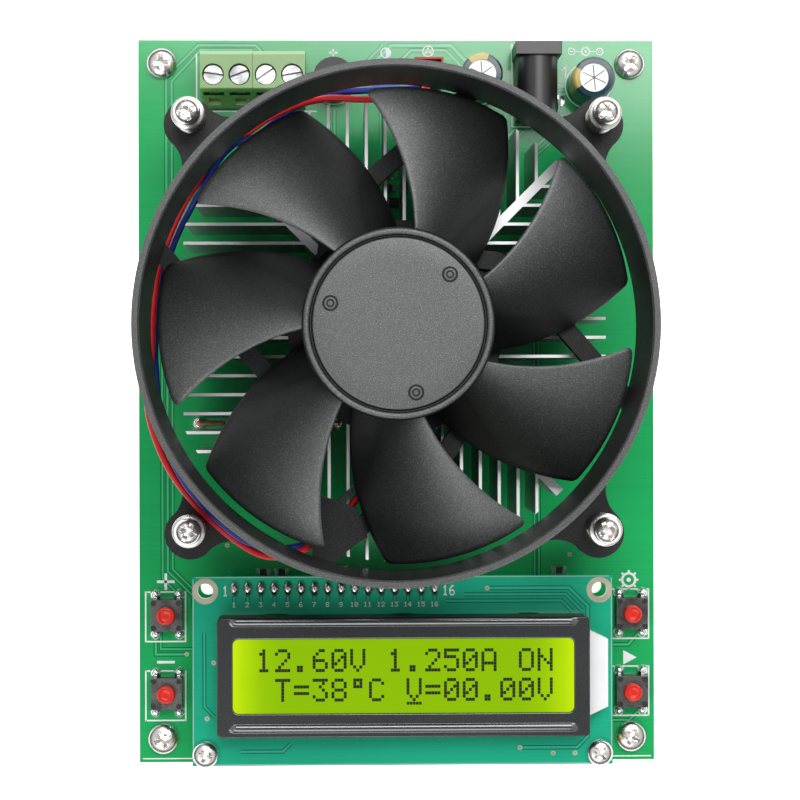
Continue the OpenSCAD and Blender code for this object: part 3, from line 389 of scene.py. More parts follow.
class Geo:
    """Collects several closed shapes into one mesh."""

    def __init__(self):
        self.v, self.f, self.mi = [], [], []

    def add(self, verts, faces, mi=0):
        k = len(self.v)
        self.v += verts
        self.f += [tuple(i + k for i in f) for f in faces]
        self.mi += [mi] * len(faces)
        return self

    def lathe(self, prof, c=(0, 0, 0), n=64, mi=0, close=False, sx=1.0, sy=1.0):
        """prof: (r, z) from one end to the other; r = 0 ends become poles."""
        v, rows = [], []
        for r, z in prof:
            if r < 1e-6:
                rows.append([len(v)])
                v.append((c[0], c[1], c[2] + z))
            else:
                rows.append(list(range(len(v), len(v) + n)))
                v += [(c[0] + sx * r * cos(2 * pi * i / n), c[1] + sy * r * sin(2 * pi * i / n), c[2] + z) for i in range(n)]
        f = []
        pairs = list(zip(rows[:-1], rows[1:])) + ([(rows[-1], rows[0])] if close else [])
        for a, b in pairs:
            for i in range(n):
                j = (i + 1) % n
                if len(a) == 1 and len(b) == 1:
                    continue
                if len(a) == 1:
                    f.append((a[0], b[i], b[j]))
                elif len(b) == 1:
                    f.append((a[i], b[0], a[j]))
                else:
                    f.append((a[i], b[i], b[j], a[j]))
        return self.add(v, f, mi)

    def prism(self, poly, z0, z1, mi=0, c=(0, 0)):
        n = len(poly)
        v = [(c[0] + x, c[1] + y, z0) for x, y in poly] + [(c[0] + x, c[1] + y, z1) for x, y in poly]
        f = [tuple(range(n - 1, -1, -1)), tuple(range(n, 2 * n))]
        f += [(i, (i + 1) % n, n + (i + 1) % n, n + i) for i in range(n)]
        return self.add(v, f, mi)

    def box(self, x0, x1, y0, y1, z0, z1, mi=0):
        return self.prism([(x0, y0), (x1, y0), (x1, y1), (x0, y1)], z0, z1, mi)

    def strip(self, pts, w, z0, z1, mi=0):
        """A flat track along 2-D points with mitred corners, as one closed band."""
        p = [Vector(q) for q in pts]
        L, R = [], []
        for i, q in enumerate(p):
            d0 = (q - p[i - 1]).normalized() if i else (p[1] - q).normalized()
            d1 = (p[i + 1] - q).normalized() if i < len(p) - 1 else d0
            t = (d0 + d1).normalized()
            nrm = Vector((-t.y, t.x))
            k = w / 2 / max(0.35, nrm.dot(Vector((-d0.y, d0.x))))
            L.append(q + nrm * k)
            R.append(q - nrm * k)
        m = len(p)
        v = [(q.x, q.y, z) for z in (z0, z1) for row in (L, R) for q in row]
        f = []
        for i in range(m - 1):
            f += [(2 * m + i, 3 * m + i, 3 * m + i + 1, 2 * m + i + 1), (i, i + 1, m + i + 1, m + i),
                  (i, 2 * m + i, 2 * m + i + 1, i + 1), (m + i, m + i + 1, 3 * m + i + 1, 3 * m + i)]
        f += [(0, m, 3 * m, 2 * m), (m - 1, 3 * m - 1, 4 * m - 1, 2 * m - 1)]
        return self.add(v, f, mi)

    def ring(self, x, y, r0, r1, z0, z1, n=32, mi=0):
        return self.lathe([(r0, z0), (r1, z0), (r1, z1), (r0, z1)], (x, y, 0), n, mi, close=True)

    def disc(self, x, y, r, z0, z1, n=24, mi=0):
        return self.lathe([(0, z0), (r, z0), (r, z1), (0, z1)], (x, y, 0), n, mi)

    def tube(self, pts, r, n=14, mi=0):
        """A round wire along points, its rings carried without twist."""
        p = [Vector(q) for q in pts]
        m = len(p)
        T = [(p[min(i + 1, m - 1)] - p[max(i - 1, 0)]).normalized() for i in range(m)]
        u = T[0].orthogonal().normalized()
        v = []
        for i in range(m):
            u = (u - T[i] * u.dot(T[i])).normalized()
            w = T[i].cross(u)
            v += [tuple(p[i] + r * (cos(2 * pi * k / n) * u + sin(2 * pi * k / n) * w)) for k in range(n)]
        f = [tuple(range(n)), tuple(range(m * n - 1, (m - 1) * n - 1, -1))]
        for i in range(m - 1):
            for k in range(n):
                j = (k + 1) % n
                f.append((i * n + k, i * n + j, (i + 1) * n + j, (i + 1) * n + k))
        return self.add(v, f, mi)

    def build(self, name, mat, **kw):
        angle = kw.pop("angle", None)
        o = make(name, self.v, self.f, mat, mi=self.mi if kw.get("mats") else None, **kw)
        if angle:
            fix_edges(o, angle)
        return o


def fix_edges(o, angle=32):
    """Smooth shading that stays crisp at edges over the given angle."""
    me = o.data
    bm = bmesh.new()
    bm.from_mesh(me)
    for e in bm.edges:
        e.smooth = not (len(e.link_faces) == 2 and e.calc_face_angle(0) > radians(angle))
    for f in bm.faces:
        f.smooth = True
    bm.to_mesh(me)
    bm.free()
    return o


def soften(o, width, seg=2, angle=32, flat=True):
    """Rounded edges on a piece, by modifiers only."""
    w = o.modifiers.new("weld", "WELD")
    w.merge_threshold = 2e-6
    if flat:
        d = o.modifiers.new("planar", "DECIMATE")
        d.decimate_type = "DISSOLVE"
        d.angle_limit = radians(0.6)
    b = o.modifiers.new("edge", "BEVEL")
    b.width = width * MM
    b.segments = seg
    b.limit_method = "ANGLE"
    b.angle_limit = radians(angle)
    b.use_clamp_overlap = True
    b.harden_normals = False
    n = o.modifiers.new("normals", "WEIGHTED_NORMAL")
    n.keep_sharp = True
    return o


def finish_node(name, mat, width=0.0, seg=2, angle=32, flat=True):
    o = NODES[name]
    o.data.materials.clear()
    o.data.materials.append(mat)
    if width:
        soften(o, width, seg, angle, flat)
    return o


def curve(p, k):
    """Smooth points through the given ones."""
    p = [Vector(q) for q in p]
    m = len(p)
    out = []
    for i in range(m - 1):
        a, b, c, d = p[max(i - 1, 0)], p[i], p[i + 1], p[min(i + 2, m - 1)]
        for j in range(k):
            t = j / k
            out.append(0.5 * (2 * b + (c - a) * t + (2 * a - 5 * b + 4 * c - d) * t * t + (3 * b - a - 3 * c + d) * t * t * t))
    out.append(p[-1])
    return out


# ---------------------------------------------------------------- camera, light, floor
cam = bpy.data.cameras.new("photo_camera")
cam.sensor_fit = "HORIZONTAL"
cam.sensor_width = 36.0
cam.lens = 36.0 * 2314.8 / 800.0
cam.clip_start = 0.01
cam_o = bpy.data.objects.new("photo_camera", cam)
coll.objects.link(cam_o)
cam_o.rotation_mode = "XYZ"
cam_o.location = (-10.48 * MM, 0.61 * MM, (ZT + 449.77) * MM)
cam_o.rotation_euler = (radians(-0.058), radians(-1.412), radians(-0.131))
scene.camera = cam_o

scene.view_settings.view_transform = "Standard"
scene.view_settings.look = "None"
scene.view_settings.exposure = 0.0
scene.view_settings.gamma = 1.0

world = bpy.data.worlds.new("studio")
scene.world = world
world.use_nodes = True
wt = world.node_tree
bg = wt.nodes["Background"]
wc = wt.nodes.new("ShaderNodeTexCoord")
ws = wt.nodes.new("ShaderNodeSeparateXYZ")
wr = wt.nodes.new("ShaderNodeValToRGB")
wt.links.new(wc.outputs["Generated"], ws.inputs[0])
wt.links.new(ws.outputs[2], wr.inputs["Fac"])
wt.links.new(wr.outputs["Color"], bg.inputs["Color"])
el = wr.color_ramp.elements
SKY = [(0.0, 0.40), (0.10, 0.05), (0.38, 0.10), (0.62, 0.85), (0.88, 0.92), (0.955, 0.20), (0.98, 0.07), (1.0, 0.05)]
while len(el) < len(SKY):
    el.new(0.5)
for e, (p, v) in zip(el, SKY):
    e.position = p
    e.color = (v, v, v, 1)
bg.inputs["Strength"].default_value = 1.0


def area(name, loc, target, size, power, size_y=None, color=(1, 1, 1)):
    l = bpy.data.lights.new(name, "AREA")
    l.energy = power
    l.color = color
    l.shape = "RECTANGLE"
    l.size = size
    l.size_y = size_y or size
    o = bpy.data.objects.new(name, l)
    coll.objects.link(o)
    o.location = loc
    d = Vector(target) - Vector(loc)
    o.rotation_euler = d.to_track_quat("-Z", "Y").to_euler()
    return o


area("softbox_over", (0.10, 0.31, 0.93), (0.05, 0.03, 0.03), 0.54, 3.1, 0.26)
area("softbox_north", (0.16, 0.64, 0.74), (0, 0.03, 0.03), 0.90, 3.6, 0.48)
area("softbox_south", (-0.20, -0.50, 0.80), (0, 0, 0.03), 0.70, 2.6, 0.40)

fl = bpy.data.meshes.new("floor")
fl.from_pydata([(-1.5, -1.5, 0), (1.5, -1.5, 0), (1.5, 1.5, 0), (-1.5, 1.5, 0)], [], [(0, 1, 2, 3)])
floor = bpy.data.objects.new("floor", fl)
coll.objects.link(floor)
FM = Mat("pale_floor")
fn = FM.noise(3, 2)
FM.link(FM.ramp(fn, [(0.3, (0.93, 0.93, 0.93)), (0.7, (0.95, 0.95, 0.95))]), FM.b.inputs["Base Color"])
FM.set(Roughness=0.9, Emission_Color=(1, 1, 1, 1), Emission_Strength=0.95)
FM.b.inputs["Specular IOR Level"].default_value = 0.1
fl.materials.append(FM.m)

# ---------------------------------------------------------------- fan wheel
TIP, BR0, A0 = 41.6, 15.95, 28.7


def bfrac(r):
    return max(0.0, (r - BR0) / (TIP - BR0))


def blade_point(s, t, up):
    tip = TIP - 0.6 + 1.3 * t
    tip -= 0.9 * (1 - t / 0.06) ** 2 if t < 0.06 else 0
    tip -= 0.5 * ((t - 0.97) / 0.03) ** 2 if t > 0.97 else 0
    r = BR0 + s * (tip - BR0)
    u = TIP - r
    le = 18.2 * bfrac(r) ** 1.08
    te = -(18.8 + 0.92 * u + 0.003 * u * u)
    zl = 54.2 - 5.2 * bfrac(r) ** 1.4
    ztr = 37.1 - 0.2 * bfrac(r)
    a = radians(le + t * (te - le))
    k = 0.3 - 0.2 * s
    z = zl + (ztr - zl) * (k * t + (1 - k) * t * t)
    h = (0.85 - 0.25 * s) * (0.55 + 0.45 * sin(pi * min(1, max(0, 0.08 + 0.84 * t))))
    return r * cos(a), r * sin(a), z + up * h


def blade(geo, ang):
    S = [i / 36 for i in range(34)] + [0.965, 0.985, 1.0]
    T = [0, 0.005, 0.012, 0.022, 0.036, 0.06, 0.09] + [0.12 + 0.82 * i / 22 for i in range(23)] + [0.955, 0.97, 0.982, 0.992, 1.0]
    ns, nt = len(S), len(T)
    ca, sa = cos(radians(ang)), sin(radians(ang))

    def put(s, t, up):
        # the edges are drawn to a rounded nose, the root swells into the hub
        e = min(1.0, min(t, 1 - t) / 0.03 + 0.15)
        e2 = min(1.0, (1 - s) / 0.02 + 0.25)
        x, y, z = blade_point(s, t, up * math.sqrt(min(e, e2)))
        return CX + x * ca - y * sa, CY + x * sa + y * ca, ZT + z

    v = [put(s, t, 1) for s in S for t in T] + [put(s, t, -1) for s in S for t in T]
    m = ns * nt
    f = []
    for i in range(ns - 1):
        for j in range(nt - 1):
            a, b, c, d = i * nt + j, i * nt + j + 1, (i + 1) * nt + j + 1, (i + 1) * nt + j
            f += [(a, b, c, d), (m + d, m + c, m + b, m + a)]
        f += [(i * nt, (i + 1) * nt, m + (i + 1) * nt, m + i * nt),
              (i * nt + nt - 1, m + i * nt + nt - 1, m + (i + 1) * nt + nt - 1, (i + 1) * nt + nt - 1)]
    for j in range(nt - 1):
        f += [(j, m + j, m + j + 1, j + 1),
              ((ns - 1) * nt + j, (ns - 1) * nt + j + 1, m + (ns - 1) * nt + j + 1, m + (ns - 1) * nt + j)]
    geo.add(v, f)


def arc(r0, z0, r, a0, a1, n):
    return [(r0 + r * cos(radians(a0 + (a1 - a0) * i / n)), z0 + r * sin(radians(a0 + (a1 - a0) * i / n))) for i in range(n + 1)]


g = Geo()
hub = [(0, 56.5), (6, 56.5), (11, 56.5), (14.35, 56.5), (14.55, 56.46), (14.68, 56.36), (14.74, 56.2), (14.78, 55.95), (14.9, 55.84), (15.04, 55.9)]
hub += arc(15.75, 55.85, 0.74, 165, 0, 14)
hub += [(16.5, 55.2), (16.5, 50), (16.5, 44), (16.5, 36.45), (16.4, 36.25), (16.2, 36.2), (15.75, 36.2), (15.6, 36.3), (15.6, 38), (15.6, 54.6),
        (3.4, 54.6), (3.4, 52.0), (1.5, 52.0), (1.5, 55.3), (0, 55.3)]
g.lathe(hub, (CX, CY, ZT), 160)
for k in range(7):
    blade(g, A0 + k * 360 / 7)
# ejector marks on the hub: their thin dark rings are painted shade in the grooves
for ang in (163.3, 43.6, -75.8):
    cx, cy = CX + 12.1 * cos(radians(ang)), CY + 12.1 * sin(radians(ang))
    g.ring(cx, cy, 1.02, 1.38, ZT + 56.4, ZT + 56.515, 40, 1)
    g.lathe([(1.02, 56.46), (1.0, 56.56), (0.9, 56.6), (0.74, 56.58), (0.66, 56.46)], (cx, cy, ZT), 32, close=True)
    g.ring(cx, cy, 0.42, 0.66, ZT + 56.4, ZT + 56.515, 28, 1)
    g.lathe([(0.3, 56.46), (0.28, 56.56), (0.2, 56.6), (0.0, 56.61)], (cx, cy, ZT), 20)
# painted shade: dark ring in the groove between the hub's disc and its rim
g.ring(CX, CY, 14.6, 14.95, ZT + 55.7, ZT + 55.9, 160, 1)
wheel = g.build("fan_wheel", MAT["fan"], mats=[MAT["groove_shade"]], body="fan", slot="black_plastic", replaces="fan_rotor", angle=40)

# ---------------------------------------------------------------- fan lead
def lead(pol, end):
    p = [(CX + r * cos(radians(a)), CY + r * sin(radians(a)), ZT + z) for r, a, z in pol] + [(x, y, ZT + z) for x, y, z in end]
    return curve(p, 6)


RED = lead([(12.4, 262, 35.3), (16, 263, 34.6), (21, 265, 34.1), (26.9, 263.4, 33), (32, 256.6, 32.4),
            (36.8, 254, 32.3), (40.8, 250, 32.2), (44.6, 246, 31.6), (46.9, 242, 30.2), (48, 238, 28.6),
            (48.3, 232, 27.5), (48.4, 225, 27.2), (48.5, 218, 27.2), (48.4, 211, 27.3), (47.9, 204, 27.4),
            (47.2, 197.5, 27.6), (45.8, 191.5, 27.8), (44.5, 186, 27.8), (44.1, 179.5, 27.7), (44.1, 172.5, 27.7),
            (44.3, 165, 27.7), (44.3, 156, 27.7),
            (44.6, 148, 27.1), (44.65, 141, 26.3), (44.65, 134, 26.25), (44.6, 128, 26.8), (44.6, 124.5, 27.3),
            (44.6, 120.5, 28), (44.2, 113.5, 29.4), (43.2, 106, 31), (42, 100, 31.2), (41.5, 95, 31.2),
            (41.7, 88.5, 31.2), (43, 83.5, 31)],
           [(5.8, 58.6, 28), (7, 61.2, 22), (7.4, 63, 15), (7.47, 63.5, 8.3)])
BLUE = lead([(12.4, 254, 35.3), (16, 256, 34.6), (21, 261, 34.1), (26.4, 260.8, 32.2), (29, 259.5, 31.3), (31.7, 257, 31.05),
             (36.6, 254.2, 30.95), (40.6, 249.6, 30.85), (43.2, 246, 30.3), (45.2, 242, 29.8), (46.5, 238, 29.2),
             (47.4, 233, 28.8), (47.4, 225, 28.6), (47.4, 217, 28.6), (46.9, 209, 28.2), (46, 203, 27.6),
             (45.2, 197.5, 26.9), (44.4, 191.5, 26.4), (44, 186, 26.1), (43.6, 179.5, 26), (43.4, 172.5, 26),
             (43.4, 166, 26), (43.2, 157, 26),
             (43.2, 150, 26.3), (43.35, 143.5, 27.55), (44.2, 137, 28.15), (44.5, 131.5, 28.2), (43.5, 128, 27.7),
             (43.2, 125, 27), (43.6, 121, 26.2), (44.3, 115, 26.1), (44.3, 109, 27.6), (44, 103, 29.1),
             (43.4, 97, 30), (43.3, 91, 30), (43.9, 85.5, 29)],
            [(4, 59.8, 24.5), (4.7, 62.2, 18), (4.9, 63.3, 12.5), (4.93, 63.5, 8.35)])
Geo().tube(RED, 0.62, 16).build("red_lead", MAT["red_wire"], slot="red_insulation", replaces="fan_wire_red", angle=50)
Geo().tube(BLUE, 0.62, 16).build("blue_lead", MAT["blue_wire"], slot="blue_insulation", replaces="fan_wire_blue", angle=50)


# ---------------------------------------------------------------- screws and springs
def thread(r, z0, z1, pitch=0.5):
    """Rolled thread as closely set ridges, from z0 down to z1."""
    out, z = [], z0
    while z - pitch > z1:
        out += [(r, z), (r - 0.16, z - pitch * 0.5)]
        z -= pitch
    return out + [(r - 0.05, z), (r - 0.2, z1)]


def cross_head(geo, x, y, z, d, h, slot, rot, shank, flange=None):
    """Domed head with a cross recess, on a threaded shank given as (r, z) points."""
    n, nr = 112, 34
    R = d / 2
    L, W = slot / 2, slot * 0.125
    rim = max(h * 0.42, h - 1.3)
    deep = min(h, 2.0) * 0.46
    rows, v, f, mi = [], [], [], []
    prof = [(R - 0.25, 0.0), (R - 0.06, 0.03), (R, 0.16), (R, rim * 0.6)]
    for i in range(nr):
        q = R * (1 - (i / (nr - 1)) ** 1.15) if i else R
        prof.append((q, None))
    cr, sr = cos(radians(rot)), sin(radians(rot))
    for q, zz in prof:
        if q < 1e-4:
            rows.append([len(v)])
            v.append((x, y, z + h - deep))
            continue
        rows.append(list(range(len(v), len(v) + n)))
        for k in range(n):
            a = 2 * pi * k / n
            px, py = q * cos(a), q * sin(a)
            if zz is None:
                t = q / R
                hz = rim + (h - rim) * (max(0.0, 1 - t ** 2.6) ** 0.62)
                u, w = abs(px * cr + py * sr), abs(-px * sr + py * cr)
                big, small = max(u, w), min(u, w)
                wid = W * (1.45 - 0.55 * big / L)
                inside = min(wid - small, L - big)
                if inside > 0:
                    hz -= min(1.0, inside / 0.10) * deep * (1 - 0.45 * big / L)
            else:
                hz = zz
            v.append((x + px, y + py, z + hz))
    for a, b in zip(rows[:-1], rows[1:]):
        for k in range(n):
            j = (k + 1) % n
            f.append((a[k], b[0], a[j]) if len(b) == 1 else (a[k], b[k], b[j], a[j]))
    # faces in the cross recess take the second material, painted lighter than the head
    for face in f:
        cxm = sum(v[i][0] for i in face) / len(face) - x
        cym = sum(v[i][1] for i in face) / len(face) - y
        u, w = abs(cxm * cr + cym * sr), abs(-cxm * sr + cym * cr)
        big, small = max(u, w), min(u, w)
        mi.append(1 if (big < L - 0.02 and small < W * (1.45 - 0.55 * big / L) - 0.02) else 0)
    k0 = len(geo.v)
    geo.v += v
    geo.f += [tuple(i + k0 for i in q) for q in f]
    geo.mi += mi
    geo.lathe([(R - 0.25, 0.0)] + shank + [(0, shank[-1][1])], (x, y, z), 48)
    if flange:
        r, t = flange
        geo.lathe([(shank[0][0], -t), (r - 0.12, -t), (r, -t + 0.12), (r, -0.14), (r - 0.14, 0), (R - 0.4, 0.02)], (x, y, z), 64)


g = Geo()
for i, (sx, sy) in enumerate([(-1, 1), (1, 1), (-1, -1), (1, -1)]):
    cross_head(g, sx * 45.4, sy * 65.4, ZT, 5.8, 2.0, 3.3, (8, 52, 20, 64)[i], [(1.5, 0.0), (1.5, -1.7)] + thread(1.5, -1.75, -5.0))
g.build("pan_head_screws", MAT["steel"], mats=[MAT["recess"]], slot="steel", replaces="corner_screws", angle=45)
g = Geo()
for i, (sx, sy) in enumerate([(-1, 1), (1, 1), (-1, -1), (1, -1)]):
    cross_head(g, CX + 0.3 + sx * 37.5, CY + 1.0 + sy * 37.5, ZT + 34.2, 4.8, 3.8, 3.5, (15, 40, 62, 28)[i],
               [(1.5, -0.8), (1.5, -20.0)] + thread(1.5, -20.2, -39.2), flange=(3.0, 0.8))
g.build("sprung_screws", MAT["steel"], mats=[MAT["recess"]], slot="steel", replaces="cooler_screws", angle=45)
g = Geo()
for sx in (-1, 1):
    cross_head(g, LX + sx * 37.5, LY - 15.5, LTOP, 4.9, 1.9, 2.9, 30 * sx + 8, [(1.2, 0.0), (1.2, -1.6)] + thread(1.2, -1.65, -5.0, 0.4))
    h = Geo()
    cross_head(h, 0, 0, 0, 4.9, 1.9, 2.9, 20 * sx, [(1.2, 0.0), (1.2, -1.6)] + thread(1.2, -1.65, -5.0, 0.4))
    k0 = len(g.v)
    g.v += [(LX + sx * 37.5 + x, LY - 15.5 - y, ZB - z) for x, y, z in h.v]
    g.f += [tuple(i + k0 for i in reversed(q)) for q in h.f]
    g.mi += h.mi
g.build("display_screws", MAT["steel"], mats=[MAT["recess"]], slot="steel", replaces="lcd_screws", angle=45)

g = Geo()
for sx, sy in ((-1, 1), (1, 1), (-1, -1), (1, -1)):
    pts = []
    for j in range(54 * 5 + 1):
        i = j / 5
        a = radians(i * 40)
        s = min(1.0, max(0.0, (i - 6) / 42))
        pts.append((CX + 0.3 + sx * 37.5 + 2.35 * cos(a), CY + 1.0 + sy * 37.5 + 2.35 * sin(a), ZT + 25.45 + 7.5 * s))
    g.tube(pts, 0.42, 12)
g.build("coil_springs", MAT["steel"], slot="steel", replaces="cooler_springs", angle=50)

# ---------------------------------------------------------------- main board: tracks, ink, solder
top = Geo()       # 0 gap, 1 track, 2 ink, 3 tinned pad
E = 0.02


def track(pts, w, z=ZT, up=1, mi=(0, 1), geo=None):
    ge = geo if geo is not None else top
    if up > 0:
        ge.strip(pts, w + 0.42, z - E, z + 0.006, mi[0])
        ge.strip(pts, w, z - E, z + 0.016, mi[1])
    else:
        ge.strip(pts, w + 0.42, z - 0.006, z + E, mi[0])
        ge.strip(pts, w, z - 0.016, z + E, mi[1])


def ink(pts, w=0.28, z=ZT, geo=None, mi=2):
    (geo if geo is not None else top).strip(pts, w, z - E, z + 0.026, mi)


def pad(x, y, r, hole=0.0, z=ZT, geo=None, mi=3):
    ge = geo if geo is not None else top
    if hole:
        ge.ring(x, y, hole, r, z - E, z + 0.022, 32, mi)
    else:
        ge.disc(x, y, r, z - E, z + 0.022, 28, mi)


TRACKS = [([(-44.6, 14), (-44.6, 62.8), (-38.4, 69.0), (-27.3, 69.0), (-25.9, 67.6)], 0.42),
          ([(-43.55, 14), (-43.55, 62.0), (-37.9, 68.1), (-28.1, 68.1), (-27.1, 67.2)], 0.42),
          ([(-5.0, 65.0), (-1.0, 69.0), (10.7, 69.0), (15.4, 64.0)], 0.62),
          ([(-0.6, 64.6), (2.9, 68.1), (9.6, 68.1), (13.6, 64.0)], 0.5),
          ([(-8.0, 63.6), (-3.2, 68.4), (-2.6, 69.3)], 0.4),
          ([(20.0, 49.9), (26.6, 55.7), (26.6, 58)], 0.45), ([(21.0, 48.9), (27.4, 54.6), (31.4, 54.6), (31.4, 58)], 0.35),
          ([(24.9, 47.4), (31.1, 52.9), (37.2, 58)], 0.45), ([(25.9, 46.5), (33.5, 53.1), (40, 58)], 0.35),
          ([(26.75, 14), (26.75, -37.5)], 0.32), ([(27.6, 20), (27.6, -37.5)], 0.32),
          ([(-44.5, 12), (-44.5, -33.0), (-39.6, -37.8), (-39.6, -40)], 0.40),
          ([(-43.55, 12), (-43.55, -32.6), (-38.7, -37.4), (-38.7, -40)], 0.36),
          ([(-45.5, 12), (-45.5, -34.4), (-42.35, -37.6)], 0.36),
          ([(-46.85, -44.6), (-46.85, -49.1), (-40.9, -49.1)], 0.42),
          ([(-45.9, -44.6), (-45.9, -48.1), (-38.6, -48.1)], 0.36),
          ([(39.5, -62.3), (45.2, -62.3), (47.65, -59.7)], 0.42), ([(39.5, -47.6), (45.0, -47.6), (47.65, -44.6)], 0.42),
          ([(33.0, 61.2), (30.8, 61.2), (30.8, 57)], 0.7), ([(33.0, 59.6), (31.6, 59.6), (31.6, 56.5)], 0.5),
          ([(-30, 50), (-30, 56), (-27.4, 58.6)], 0.9), ([(-12, 50), (-12, 56.6)], 0.4), ([(-3, 50), (-3, 58)], 0.4),
          ([(-37.4, -4.3), (-11.5, -4.3)], 2.2)]
for pts, w in TRACKS:
    track(pts, w)
for x, y in [(-40.9, -49.1), (44.4, 40), (-20, 36), (14, 48), (18.5, 46.8), (33.6, -30), (-33, -28), (6, 36), (-38.6, -48.1)]:
    pad(x, y, 0.42, 0.17)
# printed outlines
for (kx, ky), (x0, x1, y0, y1) in zip(KEYS, [(-48.8, -41.1, -46.6, -37.0), (-48.8, -41.1, -61.9, -52.3),
                                             (41.35, 48.95, -46.4, -36.8), (41.35, 48.95, -61.4, -51.8)]):
    ink([(x0, y0), (x1, y0)]); ink([(x0, y1), (x1, y1)]); ink([(x0, y0 - 0.14), (x0, y1 + 0.14)]); ink([(x1, y0 - 0.14), (x1, y1 + 0.14)])
ink([(-38.7, 67.4), (-38.7, 56.2), (-15.4, 56.2)], 0.26)
ink([(22.55, 69.4), (22.55, 53.2)], 0.34); ink([(31.3, 69.4), (31.3, 53.2)], 0.22); ink([(22.55, 53.2), (31.3, 53.2)], 0.22)
for c in CAPS:
    top.ring(c[0], c[1], 4.25, 4.5, ZT - E, ZT + 0.026, 64, 2)
top.ring(BUZZ[0], BUZZ[1], 4.3, 4.55, ZT - E, ZT + 0.026, 64, 2)
ink([(-49.4, -69.3), (-39.4, -69.3)], 0.22); ink([(41.2, -69.3), (49.4, -69.3)], 0.22)
# signs above the buttons: plus, minus, dial, run
ink([(-46.6, -35.0), (-43.2, -35.0)], 0.5); ink([(-44.9, -36.6), (-44.9, -33.4)], 0.5)
ink([(-46.6, -50.6), (-43.2, -50.6)], 0.5)
top.ring(45.1, -35.0, 1.05, 1.5, ZT - E, ZT + 0.026, 32, 2)
top.disc(45.1, -35.0, 0.42, ZT - E, ZT + 0.026, 20, 2)
for a in range(0, 360, 45):
    ca, sa = cos(radians(a)), sin(radians(a))
    ink([(45.1 + 1.4 * ca, -35.0 + 1.4 * sa), (45.1 + 1.9 * ca, -35.0 + 1.9 * sa)], 0.42)
top.prism([(44.0, -51.5), (46.6, -50.1), (44.0, -48.7)], ZT - E, ZT + 0.026, 2)
# polarity sign beside the inlet, fan and contrast signs
top.ring(36.9, 67.9, 0.62, 0.9, ZT - E, ZT + 0.026, 28, 2); top.disc(36.9, 67.9, 0.28, ZT - E, ZT + 0.026, 16, 2)
for sx in (-1, 1):
    ink([(36.9 + sx * 0.9, 67.9), (36.9 + sx * 2.0, 67.9)], 0.2)
    top.ring(36.9 + sx * 2.75, 67.9, 0.55, 0.75, ZT - E, ZT + 0.026, 24, 2)
    ink([(36.9 + sx * 2.75 - 0.36, 67.9), (36.9 + sx * 2.75 + 0.36, 67.9)], 0.18)
ink([(39.65, 67.54), (39.65, 68.26)], 0.18)
top.ring(6.2, 67.9, 0.9, 1.12, ZT - E, ZT + 0.026, 28, 2)
for a in (90, 210, 330):
    ink([(6.2, 67.9), (6.2 + 0.75 * cos(radians(a)), 67.9 + 0.75 * sin(radians(a)))], 0.34)
top.ring(-2.0, 67.6, 0.8, 1.05, ZT - E, ZT + 0.026, 28, 2)
top.prism([(-2.0, 66.75)] + [(-2.0 + 0.82 * cos(radians(a)), 67.6 + 0.82 * sin(radians(a))) for a in range(-85, 90, 15)] + [(-2.0, 68.45)], ZT - E, ZT + 0.026, 2)
ink([(-13.0, 67.6), (-11.4, 67.6)], 0.3); ink([(-12.2, 66.9), (-12.2, 68.3)], 0.3)
ink([(32.2, 64.2), (33.0, 64.9), (33.0, 62.6)], 0.26)
top.build("board_print", MAT["board_gap"], mats=[MAT["board_trace"], MAT["silk"], MAT["tin_pad"]], slot="green_board", angle=40)


def joint(geo, x, y, z, r, h, up=1, oval=1.0, tip=0.34):
    """A solder fillet around a pin."""
    prof = [(r, 0.0), (r, 0.04), (r * 0.86, h * 0.16), (r * 0.62, h * 0.38), (tip + 0.12, h * 0.72), (tip, h), (tip * 0.5, h * 1.06), (0, h * 1.08)]
    geo.lathe([(0, 0.0)] + [(a, up * b) for a, b in prof], (x, y, z), 28, sy=oval)


PINS = [(x, LPY, 0.85) for x in LPX] + [(x, 59.3, 1.35) for x in POLES]
PINS += [(c[0] + s * 1.75, c[1], 0.95) for c in CAPS for s in (-1, 1)] + [(BUZZ[0] + s * 2.5, BUZZ[1], 0.95) for s in (-1, 1)]
PINS += [(TRIM[0] + a, TRIM[1] + b, 0.9) for a, b in ((-1.7, -1.7), (1.7, -1.7), (0, 1.7))]
PINS += [(FHDR[0] + s * 1.27, FHDR[1], 0.85) for s in (-1, 1)]
PINS += [(JX, 54.95, 1.7), (JX, 60.85, 1.7), (JX + 4.2, 58.5, 1.7)]
PINS += [(k[0] + sx * 2.25, k[1] + sy * 3.25, 0.95) for k in KEYS for sx in (-1, 1) for sy in (-1, 1)]
PINS += [(CX + s * 5.45, CY - 17, 1.5) for s in (-1, 0, 1)] + [(x, -4.3, 1.7) for x in (-38.3, -11.5)]
PINS += [(CX + 19 + s * 1.27, CY + 2, 0.6) for s in (-1, 0, 1)]
g = Geo()
for x, y, r in PINS:
    joint(g, x, y, ZB, r, 1.45, -1)
for k in KEYS:
    for sx in (-1, 1):
        for sy in (-1, 1):
            g.lathe([(0, 0), (1.12, 0.0), (1.15, 0.12), (1.06, 0.36), (0.88, 0.76), (0.68, 1.10), (0.42, 1.28), (0, 1.32)],
                    (k[0] + sx * 2.3, k[1] + sy * 3.78, ZT), 32)
for x, r in ((-38.3, 1.5), (-11.5, 1.3)):
    g.lathe([(0, 0.0), (r, 0.0), (r * 1.02, 0.35), (r * 0.98, 0.8), (r * 0.84, 1.35), (r * 0.6, 1.8), (r * 0.42, 2.0), (0, 2.05)], (x, -4.3, ZT), 36)
for s in (-1, 0, 1):
    joint(g, CX + s * 5.45, CY - 17, ZT, 1.4, 0.8)
g.build("solder_joints", MAT["solder"], slot="steel", angle=55)
g = Geo()
